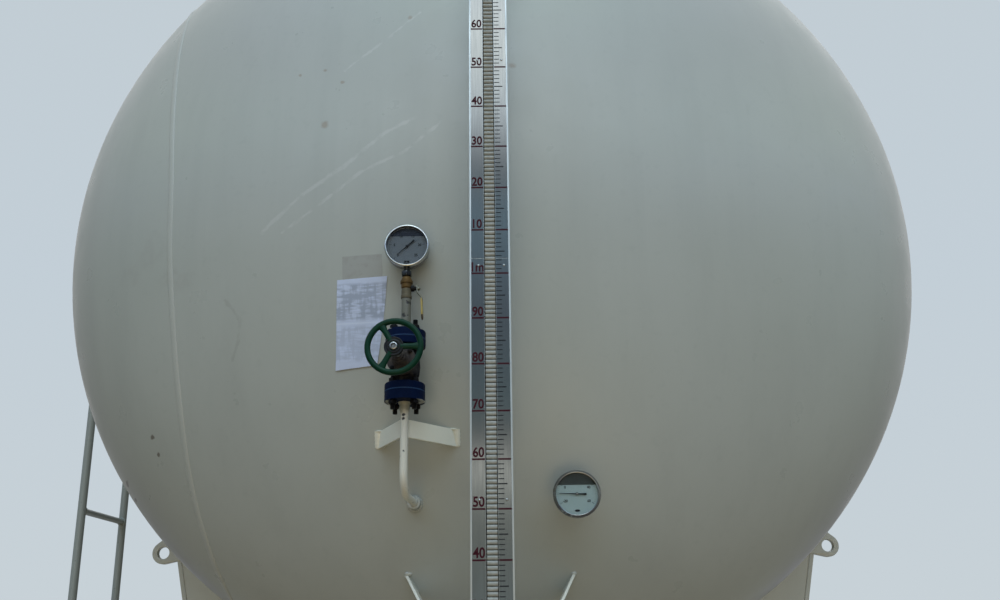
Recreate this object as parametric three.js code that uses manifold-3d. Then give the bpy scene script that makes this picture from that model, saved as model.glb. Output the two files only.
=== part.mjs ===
// Horizontal pressure tank for liquefied gas, on two steel saddles, with its level gauge,
// pressure gauge line, thermometer and ladder. Sizes are in millimetres, +Z is up, and
// +Y runs along the tank, away from the head that carries the instruments.
import * as THREE from 'three';
import { mergeVertices } from 'three/addons/utils/BufferGeometryUtils.js';
import Module from 'manifold-3d';

const wasm = await Module();
wasm.setup();

// Gap left between pieces that touch, and the grid that every corner is rounded to
const GAP = 0.3;
const GRID = 0.01;

// Tank shell: outer radius, wall, 2:1 ellipsoidal heads, two courses
const TANK_RADIUS = 1250;
const WALL = 14;
const HEAD_DEPTH = TANK_RADIUS / 2;
const STRAIGHT_FLANGE = 40;
const TANGENT_LENGTH = 5000;
const AXIS_HEIGHT = 1700;
const SHELL_SIDES = 64;
const HEAD_RINGS = 10;

// Saddles
const SADDLE_SETBACK = 325;
const SADDLE_PLATE = 12;
const WEB_THICKNESS = 16;
const BASE_THICKNESS = 20;
const BASE_WIDTH = 240;
const WEAR_WIDTH = 280;
const WEAR_HALF_ANGLE = Math.PI / 3;
const END_RIB_WIDTH = 120;
const HORN_X = 1007;
const HORN_DROP = 863;
const HORN_TAPER = 0.21;
const MID_RIB_X = 330;
const MID_RIB_DEPTH = 105;

// Lifting lugs beside the saddle horns
const LUG_X = 1053;
const LUG_DROP = 837;
const LUG_RADIUS = 35;
const LUG_HOLE_RADIUS = 19;
const LUG_THICKNESS = 20;

// Ladder beside the left of the shell
const LADDER_X = -1450;
const LADDER_FRONT_Y = 582;
const LADDER_WIDTH = 350;
const RAIL_RADIUS = 14;
const RUNG_RADIUS = 11;
const RUNG_SPACING = 340;
const FIRST_RUNG_Z = -1345;
const RUNG_COUNT = 7;
const LADDER_BEND = 140;
const LADDER_TOP_Z = 900;
const STANDOFF_Z = 180;
const STANDOFF_BAR = { height: 40, thickness: 6 };

// Magnetic level gauge up the middle of the front head
const SCALE_FRONT_Y = -790;
const SCALE_ZERO_Z = -1351;
const SCALE_LENGTH = 2500;
const SCALE_MARGIN = 30;
const FRAME_WIDTH = 86;
const FRAME_DEPTH = 16;
const FRAME_LIP = 4.5;
const FRAME_RECESS = 2;
const FLAP_WIDTH = 24;
const CHAMBER_RADIUS = 30.15;
const CHAMBER_RING_RADIUS = 38;
const CHAMBER_RING_HEIGHT = 24;
const CHAMBER_RING_HEIGHTS = [1000, 250, -500];
const CHAMBER_FLANGE = { radius: 57.5, thickness: 36 };
const BRANCH_RADIUS = 16.85;
const BRANCH_OFFSET = 1100;
const BRANCH_FLANGE = { radius: 57.5, thickness: 34, y: -500 };
const STRUT_WIDTH = 50;
const STRUT_THICKNESS = 6;
const STRUT_CLAMP_Z = -1244;
const STRUT_CLAMP_HEIGHT = 60;
const STRUT_FEET_X = [-193, 177];
const STRUT_FOOT_Y = -386;
const STRUT_FOOT_Z = -981;

// Pressure gauge line, left of the level gauge
const LINE_X = -192;
const LINE_Y = -645;
const BOSS_X = -183;
const BOSS_Z = -797;
const BOSS_RADIUS = 15;
const BOSS_LENGTH = 28;
const PIPE_RADIUS = 8.75;
const PIPE_BEND = 50;
const NECK_RADIUS = 11.5;
const NECK_BOTTOM_Z = -622;
const FLANGE_RADIUS = 45;
const LOWER_FLANGE_Z = [-596, -573];
const VALVE_LOWER_FLANGE_Z = [-572.7, -555];
const VALVE_UPPER_FLANGE_Z = [-470, -452.3];
const UPPER_FLANGE_Z = [-452, -433];
const VALVE_Z = -514;
const STEM_TURN = THREE.MathUtils.degToRad(3);
const BONNET_LENGTH = 96;
const WHEEL_DISTANCE = 150;
const WHEEL_RADIUS = 62;
const WHEEL_RIM = 6;
const WHEEL_HUB = { radius: 21, back: 2, front: 14 };
const SPOKE_RADIUS = 5;
const RISER_RADIUS = 10.65;
const BALL_VALVE_Z = [-353, -299];
const LEVER_Z = -328;
const LEVER_X = 23;
const GAUGE_Z = -227;
const GAUGE_RADIUS = 52;
const GAUGE_DEPTH = 32;

// Bracket that steadies the line
const BRACKET_Z = -653;
const BRACKET_HEIGHT = 40;
const BRACKET_THICKNESS = 6;
const BRACKET_FEET = [[-272, -505], [-72, -520]];

// Thermometer, right of the level gauge
const THERMOMETER = { x: 189, z: -790, radius: 54, front: -565, depth: 22 };
const THERMOMETER_BOSS = { radius: 13, length: 30 };

// Sheet of paper stuck on the head: corners as X and Z, and its thickness
const SHEET_CORNERS = [[-363, -280], [-243, -277], [-266, -489], [-365, -493]];
const SHEET_THICKNESS = 0.8;

// Fittings on top of the shell
const MANHOLE = { y: 1600, neckRadius: 255, radius: 350, rise: 150, flange: 55, cover: 50 };
const RELIEF_VALVE = { y: 3700, neckRadius: 45, flangeRadius: 95, bodyRadius: 62 };

// Colours
const CREAM = new THREE.MeshStandardMaterial({ color: 0xc9c8be, roughness: 0.45, metalness: 0.05 });
const GALVANISED = new THREE.MeshStandardMaterial({ color: 0xa9adac, roughness: 0.5, metalness: 0.5 });
const STEEL = new THREE.MeshStandardMaterial({ color: 0xb4b8ba, roughness: 0.25, metalness: 0.9 });
const BLUE = new THREE.MeshStandardMaterial({ color: 0x1c3d6e, roughness: 0.45, metalness: 0.1 });
const GREEN = new THREE.MeshStandardMaterial({ color: 0x0d5a34, roughness: 0.4, metalness: 0.1 });
const DARK = new THREE.MeshStandardMaterial({ color: 0x2d2c2c, roughness: 0.6, metalness: 0.4 });
const BRASS = new THREE.MeshStandardMaterial({ color: 0x8a6a3c, roughness: 0.4, metalness: 0.8 });
const YELLOW = new THREE.MeshStandardMaterial({ color: 0xc9a227, roughness: 0.5, metalness: 0 });
const FLAPS = new THREE.MeshStandardMaterial({ color: 0xcfc9b4, roughness: 0.5, metalness: 0 });
const PAPER = new THREE.MeshStandardMaterial({ color: 0xd8dbe4, roughness: 0.9, metalness: 0 });

// Six times a closed triangle list's volume, negative where its faces point inwards
function signedVolume(positions, corners) {
  const a = new THREE.Vector3();
  const b = new THREE.Vector3();
  const c = new THREE.Vector3();
  let total = 0;
  for (let i = 0; i < corners.length; i += 3) {
    a.fromArray(positions, corners[i] * 3);
    b.fromArray(positions, corners[i + 1] * 3);
    c.fromArray(positions, corners[i + 2] * 3);
    total += a.dot(b.cross(c));
  }
  return total;
}

// A closed three.js geometry as a solid that can be joined and cut
function solid(geometry) {
  const bare = new THREE.BufferGeometry();
  const flat = geometry.index ? geometry.toNonIndexed() : geometry;
  const onGrid = flat.getAttribute('position').array.map((value) => Math.round(value / GRID) * GRID);
  bare.setAttribute('position', new THREE.BufferAttribute(onGrid, 3));
  const merged = mergeVertices(bare, GRID / 10);
  const positions = merged.getAttribute('position').array;
  const corners = [];
  for (let i = 0; i < merged.index.count; i += 3) {
    const [a, b, c] = merged.index.array.slice(i, i + 3);
    if (a !== b && b !== c && c !== a) corners.push(a, b, c);
  }
  if (signedVolume(positions, corners) < 0) corners.reverse();
  return new wasm.Manifold(new wasm.Mesh({
    numProp: 3,
    vertProperties: positions,
    triVerts: new Uint32Array(corners),
  }));
}

// Several solids joined into one
function join(first, ...others) {
  return others.reduce((sum, next) => sum.add(next), first);
}

// A named mesh of a solid, added to its group
function piece(group, name, body, material) {
  const surface = body.getMesh();
  const geometry = new THREE.BufferGeometry();
  geometry.setAttribute('position', new THREE.BufferAttribute(surface.vertProperties, 3));
  geometry.setIndex(new THREE.BufferAttribute(surface.triVerts, 1));
  geometry.computeVertexNormals();
  const mesh = new THREE.Mesh(geometry, material);
  mesh.name = name;
  group.add(mesh);
  return mesh;
}

// A solid turned about the Y axis, from pairs of radius and y
function turned(profile, sides) {
  const points = profile.map(([radius, y]) => new THREE.Vector2(radius, y));
  return solid(new THREE.LatheGeometry(points, sides));
}

// A solid turned about a vertical axis at x, y, from pairs of radius and z
function turnedUpright(profile, sides, x, y) {
  const points = profile.map(([radius, z]) => new THREE.Vector2(radius, z));
  return solid(new THREE.LatheGeometry(points, sides).rotateX(Math.PI / 2).translate(x, y, 0));
}

// A round bar between two points
function rod(radius, from, to, sides = 12) {
  const along = new THREE.Vector3().subVectors(to, from);
  const geometry = new THREE.CylinderGeometry(radius, radius, along.length(), sides);
  const turn = new THREE.Quaternion().setFromUnitVectors(
    new THREE.Vector3(0, 1, 0),
    along.clone().normalize(),
  );
  const middle = new THREE.Vector3().addVectors(from, to).multiplyScalar(0.5);
  return solid(geometry.applyQuaternion(turn).translate(middle.x, middle.y, middle.z));
}

// An upright round bar at x, y from z0 to z1
function post(radius, x, y, z0, z1, sides = 12) {
  return rod(radius, new THREE.Vector3(x, y, z0), new THREE.Vector3(x, y, z1), sides);
}

// A block between its lowest and highest corners
function block(low, high) {
  const size = high.map((value, axis) => value - low[axis]);
  const middle = high.map((value, axis) => (value + low[axis]) / 2);
  return solid(new THREE.BoxGeometry(...size).translate(...middle));
}

// A plate whose outline is drawn in X and Z, centred on a plane of constant y
function uprightPlate(outline, thickness, y) {
  const options = { depth: thickness, bevelEnabled: false, curveSegments: 12 };
  const geometry = new THREE.ExtrudeGeometry(outline, options);
  return solid(geometry.rotateX(Math.PI / 2).translate(0, y + thickness / 2, 0));
}

// A plate whose outline is drawn in X and Y, from z0 upwards
function levelPlate(outline, height, z0) {
  const geometry = new THREE.ExtrudeGeometry(outline, { depth: height, bevelEnabled: false });
  return solid(geometry.translate(0, 0, z0));
}

// An outline through a list of points
function polygon(points) {
  return new THREE.Shape(points.map(([x, y]) => new THREE.Vector2(x, y)));
}

// A round pipe swept along a path of straight lines and curves
function sweptPipe(path, radius, steps, sides) {
  const section = new THREE.Shape();
  for (let i = 0; i < sides; i += 1) {
    const angle = (2 * Math.PI * i) / sides;
    const corner = [radius * Math.cos(angle), radius * Math.sin(angle)];
    if (i === 0) section.moveTo(...corner);
    else section.lineTo(...corner);
  }
  const options = { steps, bevelEnabled: false, extrudePath: path };
  return solid(new THREE.ExtrudeGeometry(section, options));
}

// A quarter bend in a pipe's path from one point to another, rounding the given corner
function bend(from, corner, to) {
  const roundness = 0.5523;
  const leaving = from.clone().lerp(corner, roundness);
  const arriving = to.clone().lerp(corner, roundness);
  return new THREE.CubicBezierCurve3(from, leaving, arriving, to);
}

// Everything inside the shell's outer surface, grown by a clearance, for seating pieces on it
function shellInside(clearance) {
  const radius = TANK_RADIUS + clearance;
  const depth = HEAD_DEPTH + clearance;
  const profile = [];
  for (let ring = 0; ring <= HEAD_RINGS; ring += 1) {
    const angle = (Math.PI / 2) * (ring / HEAD_RINGS);
    profile.push([radius * Math.sin(angle), -depth * Math.cos(angle)]);
  }
  profile.push([radius, TANGENT_LENGTH], [0, TANGENT_LENGTH]);
  return turned(profile, SHELL_SIDES);
}

// The y of the front head's outer surface at x, z
function headSurfaceY(x, z) {
  const inward = (x * x + z * z) / (TANK_RADIUS * TANK_RADIUS);
  return -HEAD_DEPTH * Math.sqrt(1 - inward);
}

// One dished head with its straight flange, crown towards -Y
function dishedHead() {
  const profile = [];
  for (let ring = 0; ring <= HEAD_RINGS; ring += 1) {
    const angle = (Math.PI / 2) * (ring / HEAD_RINGS);
    profile.push([TANK_RADIUS * Math.sin(angle), -HEAD_DEPTH * Math.cos(angle)]);
  }
  profile.push([TANK_RADIUS, STRAIGHT_FLANGE - GAP / 2]);
  profile.push([TANK_RADIUS - WALL, STRAIGHT_FLANGE - GAP / 2]);
  for (let ring = HEAD_RINGS; ring >= 0; ring -= 1) {
    const angle = (Math.PI / 2) * (ring / HEAD_RINGS);
    const inner = TANK_RADIUS - WALL;
    profile.push([inner * Math.sin(angle), -(HEAD_DEPTH - WALL) * Math.cos(angle)]);
  }
  return turned(profile, SHELL_SIDES);
}

// One rolled course of the shell
function course(from, to) {
  const inner = TANK_RADIUS - WALL;
  const outline = [[inner, from], [TANK_RADIUS, from], [TANK_RADIUS, to], [inner, to], [inner, from]];
  return turned(outline, SHELL_SIDES);
}

function addShell(tank) {
  const middle = TANGENT_LENGTH / 2;
  piece(tank, 'front_head', dishedHead(), CREAM);
  piece(tank, 'front_course', course(STRAIGHT_FLANGE + GAP / 2, middle - GAP / 2), CREAM);
  const rearEnd = TANGENT_LENGTH - STRAIGHT_FLANGE;
  piece(tank, 'rear_course', course(middle + GAP / 2, rearEnd - GAP / 2), CREAM);
  const rearHead = piece(tank, 'rear_head', dishedHead(), CREAM);
  rearHead.position.y = TANGENT_LENGTH;
  rearHead.rotation.z = Math.PI;
}

// X of the saddle's sloping outer edge at a height
function hornEdge(z) {
  return HORN_X - (-HORN_DROP - z) * HORN_TAPER;
}

// A saddle about the tank's axis, its web in the plane y = 0 and its ribs towards +Y
function addSaddle(tank, end, y, turnedRound) {
  const saddle = new THREE.Group();
  saddle.position.y = y;
  saddle.rotation.z = turnedRound ? Math.PI : 0;
  tank.add(saddle);

  const wearInside = TANK_RADIUS + GAP;
  const wearOutside = wearInside + SADDLE_PLATE;
  const baseTop = -AXIS_HEIGHT + BASE_THICKNESS;
  const webBottom = baseTop + GAP;
  const seat = turned(
    [[0, -BASE_WIDTH], [wearOutside + GAP, -BASE_WIDTH], [wearOutside + GAP, BASE_WIDTH], [0, BASE_WIDTH]],
    SHELL_SIDES,
  );

  const halfWear = WEAR_WIDTH / 2;
  const ring = turned(
    [
      [wearInside, -halfWear],
      [wearOutside, -halfWear],
      [wearOutside, halfWear],
      [wearInside, halfWear],
      [wearInside, -halfWear],
    ],
    SHELL_SIDES,
  );
  const reach = 2 * TANK_RADIUS;
  const spread = reach * Math.tan(WEAR_HALF_ANGLE);
  const wedge = uprightPlate(polygon([[0, 0], [-spread, -reach], [spread, -reach]]), WEAR_WIDTH * 2, 0);
  piece(saddle, `${end}_saddle_wear_plate`, ring.intersect(wedge), CREAM);

  const baseHalf = hornEdge(-AXIS_HEIGHT) + SADDLE_PLATE * 3;
  const basePlate = block(
    [-baseHalf, -BASE_WIDTH / 2, -AXIS_HEIGHT],
    [baseHalf, BASE_WIDTH / 2, baseTop],
  );
  piece(saddle, `${end}_saddle_base_plate`, basePlate, CREAM);

  const inset = SADDLE_PLATE + GAP;
  const webOutline = polygon([
    [-hornEdge(webBottom) + inset, webBottom],
    [hornEdge(webBottom) - inset, webBottom],
    [HORN_X - inset, -HORN_DROP],
    [-HORN_X + inset, -HORN_DROP],
  ]);
  const ribs = [-1, 1].map((side) => block(
    [side * MID_RIB_X - SADDLE_PLATE / 2, 0, webBottom],
    [side * MID_RIB_X + SADDLE_PLATE / 2, MID_RIB_DEPTH, -TANK_RADIUS / 2],
  ));
  const web = join(uprightPlate(webOutline, WEB_THICKNESS, 0), ...ribs).subtract(seat);
  piece(saddle, `${end}_saddle_web`, web, CREAM);

  for (const side of [-1, 1]) {
    const hand = side * (turnedRound ? -1 : 1) < 0 ? 'left' : 'right';
    const ribOutline = polygon([
      [side * hornEdge(webBottom), webBottom],
      [side * HORN_X, -HORN_DROP],
      [side * (HORN_X - SADDLE_PLATE), -HORN_DROP],
      [side * (hornEdge(webBottom) - SADDLE_PLATE), webBottom],
    ]);
    const endRib = uprightPlate(ribOutline, END_RIB_WIDTH, (END_RIB_WIDTH - WEB_THICKNESS) / 2);
    piece(saddle, `${end}_saddle_${hand}_rib`, endRib, CREAM);
    const lug = liftingLug(side).subtract(seat);
    piece(saddle, `${end}_saddle_${hand}_lug`, lug, CREAM);
  }
}

// The plate with an eye that stands beside a saddle horn
function liftingLug(side) {
  const bottom = -HORN_DROP + GAP;
  const eye = new THREE.Vector2(LUG_X, -LUG_DROP);
  const corner = new THREE.Vector2(HORN_X, bottom);
  const toCorner = corner.clone().sub(eye);
  const start = toCorner.angle() + Math.acos(LUG_RADIUS / toCorner.length());
  const outward = eye.clone().normalize();
  const end = outward.angle() + Math.PI / 2;
  const inner = eye.clone().normalize().multiplyScalar(TANK_RADIUS - WALL);
  const upper = new THREE.Vector2(Math.cos(end), Math.sin(end)).multiplyScalar(LUG_RADIUS).add(inner);
  const outline = [[upper.x, upper.y], [TANK_RADIUS / 2, bottom], [corner.x, corner.y]];
  const arcSteps = 10;
  const sweep = ((end - start) % (2 * Math.PI) + 2 * Math.PI) % (2 * Math.PI);
  for (let step = 0; step <= arcSteps; step += 1) {
    const angle = start + (sweep * step) / arcSteps;
    outline.push([eye.x + LUG_RADIUS * Math.cos(angle), eye.y + LUG_RADIUS * Math.sin(angle)]);
  }
  const plate = polygon(outline);
  const hole = new THREE.Path();
  hole.absarc(eye.x, eye.y, LUG_HOLE_RADIUS, 0, 2 * Math.PI, true);
  plate.holes.push(hole);
  const body = uprightPlate(plate, LUG_THICKNESS, 0);
  return side > 0 ? body : body.mirror([1, 0, 0]);
}

// Rails that bend over onto the shell, joined by rungs
function addLadder(tank, barrel) {
  const rails = [0, LADDER_WIDTH].map((offset) => LADDER_FRONT_Y + offset);
  const bodies = [];
  for (const y of rails) {
    const foot = new THREE.Vector3(LADDER_X, y, -AXIS_HEIGHT);
    const bendStart = new THREE.Vector3(LADDER_X, y, LADDER_TOP_Z - LADDER_BEND);
    const corner = new THREE.Vector3(LADDER_X, y, LADDER_TOP_Z);
    const bendEnd = new THREE.Vector3(LADDER_X + LADDER_BEND, y, LADDER_TOP_Z);
    const shellEnd = new THREE.Vector3(-TANK_RADIUS / 2, y, LADDER_TOP_Z);
    bodies.push(rod(RAIL_RADIUS, foot, bendStart, 12));
    bodies.push(sweptPipe(bend(bendStart, corner, bendEnd), RAIL_RADIUS, 8, 12));
    bodies.push(rod(RAIL_RADIUS, bendEnd, shellEnd, 12).subtract(barrel));
  }
  const rung = (x, z) => rod(
    RUNG_RADIUS,
    new THREE.Vector3(x, rails[0], z),
    new THREE.Vector3(x, rails[1], z),
    8,
  );
  for (let step = 0; step < RUNG_COUNT; step += 1) {
    bodies.push(rung(LADDER_X, FIRST_RUNG_Z + step * RUNG_SPACING));
  }
  bodies.push(rung(LADDER_X + 1.4 * LADDER_BEND, LADDER_TOP_Z));
  piece(tank, 'ladder', join(...bodies), GALVANISED);

  rails.forEach((y, index) => {
    const half = STANDOFF_BAR.thickness / 2;
    const bar = block(
      [LADDER_X + RAIL_RADIUS + GAP, y - half, STANDOFF_Z - STANDOFF_BAR.height / 2],
      [-TANK_RADIUS / 2, y + half, STANDOFF_Z + STANDOFF_BAR.height / 2],
    );
    const name = index === 0 ? 'ladder_front_standoff' : 'ladder_rear_standoff';
    piece(tank, name, bar.subtract(barrel), GALVANISED);
  });
}

// The gauge's standpipe, its branches to the head, its scale frame and its two struts
function addLevelGauge(tank, shell) {
  const frameBack = SCALE_FRONT_Y + FRAME_DEPTH;
  const chamberY = frameBack + GAP + CHAMBER_RING_RADIUS;
  const frameBottom = SCALE_ZERO_Z - SCALE_MARGIN;
  const frameTop = SCALE_ZERO_Z + SCALE_LENGTH + SCALE_MARGIN;
  const sides = 16;

  const chamberBottom = frameBottom - CHAMBER_FLANGE.thickness - 2 * SCALE_MARGIN;
  const chamberTop = frameTop + CHAMBER_FLANGE.thickness + 2 * SCALE_MARGIN;
  const ring = (z, height) => post(
    CHAMBER_RING_RADIUS,
    0,
    chamberY,
    z - height / 2,
    z + height / 2,
    sides,
  );
  const { radius, thickness } = CHAMBER_FLANGE;
  const chamber = join(
    post(CHAMBER_RADIUS, 0, chamberY, chamberBottom, chamberTop, sides),
    post(radius, 0, chamberY, chamberBottom, chamberBottom + thickness, sides),
    post(radius, 0, chamberY, chamberTop - thickness, chamberTop, sides),
    ring(STRUT_CLAMP_Z, STRUT_CLAMP_HEIGHT),
    ...CHAMBER_RING_HEIGHTS.map((z) => ring(z, CHAMBER_RING_HEIGHT)),
  );
  piece(tank, 'level_gauge_chamber', chamber, STEEL);

  const besideChamber = post(CHAMBER_RADIUS + GAP, 0, chamberY, chamberBottom, chamberTop, sides);
  for (const [name, z] of [['upper', BRANCH_OFFSET], ['lower', -BRANCH_OFFSET]]) {
    const start = new THREE.Vector3(0, chamberY, z);
    const finish = new THREE.Vector3(0, 0, z);
    const flangeStart = new THREE.Vector3(0, BRANCH_FLANGE.y - BRANCH_FLANGE.thickness / 2, z);
    const flangeEnd = new THREE.Vector3(0, BRANCH_FLANGE.y + BRANCH_FLANGE.thickness / 2, z);
    const branch = join(
      rod(BRANCH_RADIUS, start, finish, 12),
      rod(BRANCH_FLANGE.radius, flangeStart, flangeEnd, sides),
    );
    piece(tank, `level_gauge_${name}_branch`, branch.subtract(besideChamber).subtract(shell), CREAM);
  }

  const half = FRAME_WIDTH / 2;
  const floorY = SCALE_FRONT_Y + FRAME_RECESS;
  const slot = FLAP_WIDTH / 2 + GAP;
  const slotY = frameBack - FRAME_LIP;
  const frameOutline = polygon([
    [-half, frameBack],
    [-half, SCALE_FRONT_Y],
    [-half + FRAME_LIP, SCALE_FRONT_Y],
    [-half + FRAME_LIP, floorY],
    [-slot, floorY],
    [-slot, slotY],
    [slot, slotY],
    [slot, floorY],
    [half - FRAME_LIP, floorY],
    [half - FRAME_LIP, SCALE_FRONT_Y],
    [half, SCALE_FRONT_Y],
    [half, frameBack],
  ]);
  piece(tank, 'level_gauge_frame', levelPlate(frameOutline, frameTop - frameBottom, frameBottom), STEEL);
  const flaps = block(
    [-FLAP_WIDTH / 2, floorY - FRAME_RECESS / 2, SCALE_ZERO_Z],
    [FLAP_WIDTH / 2, slotY - GAP, SCALE_ZERO_Z + SCALE_LENGTH],
  );
  piece(tank, 'level_gauge_flap_column', flaps, FLAPS);

  const clampOutside = post(
    CHAMBER_RING_RADIUS + GAP,
    0,
    chamberY,
    STRUT_CLAMP_Z - STRUT_CLAMP_HEIGHT,
    STRUT_CLAMP_Z + STRUT_CLAMP_HEIGHT,
    sides,
  );
  for (const [index, name] of ['left', 'right'].entries()) {
    const strut = strutBar(STRUT_FEET_X[index], chamberY).subtract(shell).subtract(clampOutside);
    piece(tank, `level_gauge_${name}_strut`, strut, CREAM);
  }
}

// A flat bar from the head to the side of the chamber's clamp, its flat side along the tank
function strutBar(footX, chamberY) {
  const foot = new THREE.Vector3(footX, STRUT_FOOT_Y, STRUT_FOOT_Z);
  const clampSide = new THREE.Vector3(Math.sign(footX) * CHAMBER_RADIUS, chamberY, STRUT_CLAMP_Z);
  const along = new THREE.Vector3().subVectors(clampSide, foot).normalize();
  const flatNormal = new THREE.Vector3().crossVectors(along, new THREE.Vector3(0, 1, 0)).normalize();
  const across = new THREE.Vector3().crossVectors(flatNormal, along);
  const extra = STRUT_WIDTH;
  const length = clampSide.distanceTo(foot) + extra;
  const basis = new THREE.Matrix4().makeBasis(flatNormal, along, across);
  const middle = foot.clone().addScaledVector(along, length / 2 - extra);
  const bar = new THREE.BoxGeometry(STRUT_THICKNESS, length, STRUT_WIDTH);
  bar.applyMatrix4(basis).translate(middle.x, middle.y, middle.z);
  return solid(bar);
}

// Boss, bent pipe, flanged globe valve, riser, ball valve and dial
function addPressureLine(tank, shell) {
  const bossFront = headSurfaceY(BOSS_X, BOSS_Z) - BOSS_LENGTH;
  const boss = rod(
    BOSS_RADIUS,
    new THREE.Vector3(BOSS_X, bossFront, BOSS_Z),
    new THREE.Vector3(BOSS_X, 0, BOSS_Z),
    12,
  );
  piece(tank, 'pressure_boss', boss.subtract(shell), CREAM);

  const pipeStart = new THREE.Vector3(BOSS_X, bossFront - 3 * GAP, BOSS_Z);
  const corner = new THREE.Vector3(LINE_X, LINE_Y, BOSS_Z);
  const bendStart = new THREE.Vector3()
    .subVectors(pipeStart, corner)
    .setLength(PIPE_BEND)
    .add(corner);
  const bendEnd = new THREE.Vector3(LINE_X, LINE_Y, BOSS_Z + PIPE_BEND);
  const pipeEnd = new THREE.Vector3(LINE_X, LINE_Y, NECK_BOTTOM_Z + PIPE_RADIUS);
  const path = new THREE.CurvePath();
  path.add(new THREE.LineCurve3(pipeStart, bendStart));
  path.add(bend(bendStart, corner, bendEnd));
  path.add(new THREE.LineCurve3(bendEnd, pipeEnd));
  const pipe = join(
    sweptPipe(path, PIPE_RADIUS, 32, 12),
    turnedUpright(
      [
        [0, NECK_BOTTOM_Z],
        [PIPE_RADIUS * 0.85, NECK_BOTTOM_Z],
        [NECK_RADIUS, NECK_BOTTOM_Z + PIPE_RADIUS],
        [NECK_RADIUS, LOWER_FLANGE_Z[0] - GAP],
        [0, LOWER_FLANGE_Z[0] - GAP],
      ],
      12,
      LINE_X,
      LINE_Y,
    ),
  );
  piece(tank, 'pressure_pipe', pipe, CREAM);

  const apexY = LINE_Y + PIPE_RADIUS + GAP;
  const [leftFoot, rightFoot] = BRACKET_FEET;
  const bracketOutline = polygon([
    [leftFoot[0], leftFoot[1]],
    [LINE_X - NECK_RADIUS, apexY],
    [LINE_X + NECK_RADIUS, apexY],
    [rightFoot[0], rightFoot[1]],
    [rightFoot[0] - BRACKET_THICKNESS, rightFoot[1] + BRACKET_THICKNESS],
    [LINE_X + NECK_RADIUS - BRACKET_THICKNESS / 2, apexY + BRACKET_THICKNESS],
    [LINE_X - NECK_RADIUS + BRACKET_THICKNESS / 2, apexY + BRACKET_THICKNESS],
    [leftFoot[0] + BRACKET_THICKNESS, leftFoot[1] + BRACKET_THICKNESS],
  ]);
  const bracket = levelPlate(bracketOutline, BRACKET_HEIGHT, BRACKET_Z - BRACKET_HEIGHT / 2);
  piece(tank, 'pipe_bracket', bracket.subtract(shell), CREAM);

  const flangeSides = 24;
  const lowerFlange = post(FLANGE_RADIUS, LINE_X, LINE_Y, ...LOWER_FLANGE_Z, flangeSides);
  piece(tank, 'lower_flange', lowerFlange, BLUE);
  const upperFlange = post(FLANGE_RADIUS, LINE_X, LINE_Y, ...UPPER_FLANGE_Z, flangeSides);
  piece(tank, 'upper_flange', upperFlange, BLUE);

  const [bodyBottom, bodyTop] = [VALVE_LOWER_FLANGE_Z[1], VALVE_UPPER_FLANGE_Z[0]];
  const waist = FLANGE_RADIUS * 0.55;
  const belly = FLANGE_RADIUS * 0.72;
  const valveBody = turnedUpright(
    [
      [0, VALVE_LOWER_FLANGE_Z[0]],
      [FLANGE_RADIUS, VALVE_LOWER_FLANGE_Z[0]],
      [FLANGE_RADIUS, bodyBottom],
      [waist, bodyBottom],
      [waist, bodyBottom + 12],
      [belly, VALVE_Z - 18],
      [belly, VALVE_Z + 18],
      [waist, bodyTop - 12],
      [waist, bodyTop],
      [FLANGE_RADIUS, bodyTop],
      [FLANGE_RADIUS, VALVE_UPPER_FLANGE_Z[1]],
      [0, VALVE_UPPER_FLANGE_Z[1]],
    ],
    flangeSides,
    LINE_X,
    LINE_Y,
  );

  const valve = new THREE.Group();
  valve.position.set(LINE_X, LINE_Y, VALVE_Z);
  valve.rotation.z = -STEM_TURN;
  tank.add(valve);
  const bonnetBack = -belly - GAP;
  const bonnet = turned(
    [
      [0, bonnetBack],
      [24, bonnetBack],
      [24, -46],
      [32, -46],
      [32, -58],
      [18, -60],
      [14, -78],
      [16, -80],
      [16, -BONNET_LENGTH],
      [0, -BONNET_LENGTH],
    ],
    16,
  );
  piece(tank, 'globe_valve_body', valveBody, DARK);
  piece(valve, 'globe_valve_bonnet', bonnet, DARK);
  addHandwheel(valve);

  const riser = post(RISER_RADIUS, LINE_X, LINE_Y, UPPER_FLANGE_Z[1] + GAP, BALL_VALVE_Z[0] - GAP, 12);
  piece(tank, 'riser_pipe', riser, CREAM);
  addBallValve(tank);

  const back = GAUGE_DEPTH / 2;
  const dial = turned(
    [
      [0, -back],
      [GAUGE_RADIUS, -back],
      [GAUGE_RADIUS, -back + 8],
      [GAUGE_RADIUS - 2, back - 6],
      [GAUGE_RADIUS - 12, back],
      [0, back],
    ],
    32,
  ).translate([LINE_X, LINE_Y, GAUGE_Z]);
  const socket = post(8, LINE_X, LINE_Y, BALL_VALVE_Z[1] + GAP, GAUGE_Z, 12);
  piece(tank, 'pressure_gauge', join(dial, socket), STEEL);
}

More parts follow.
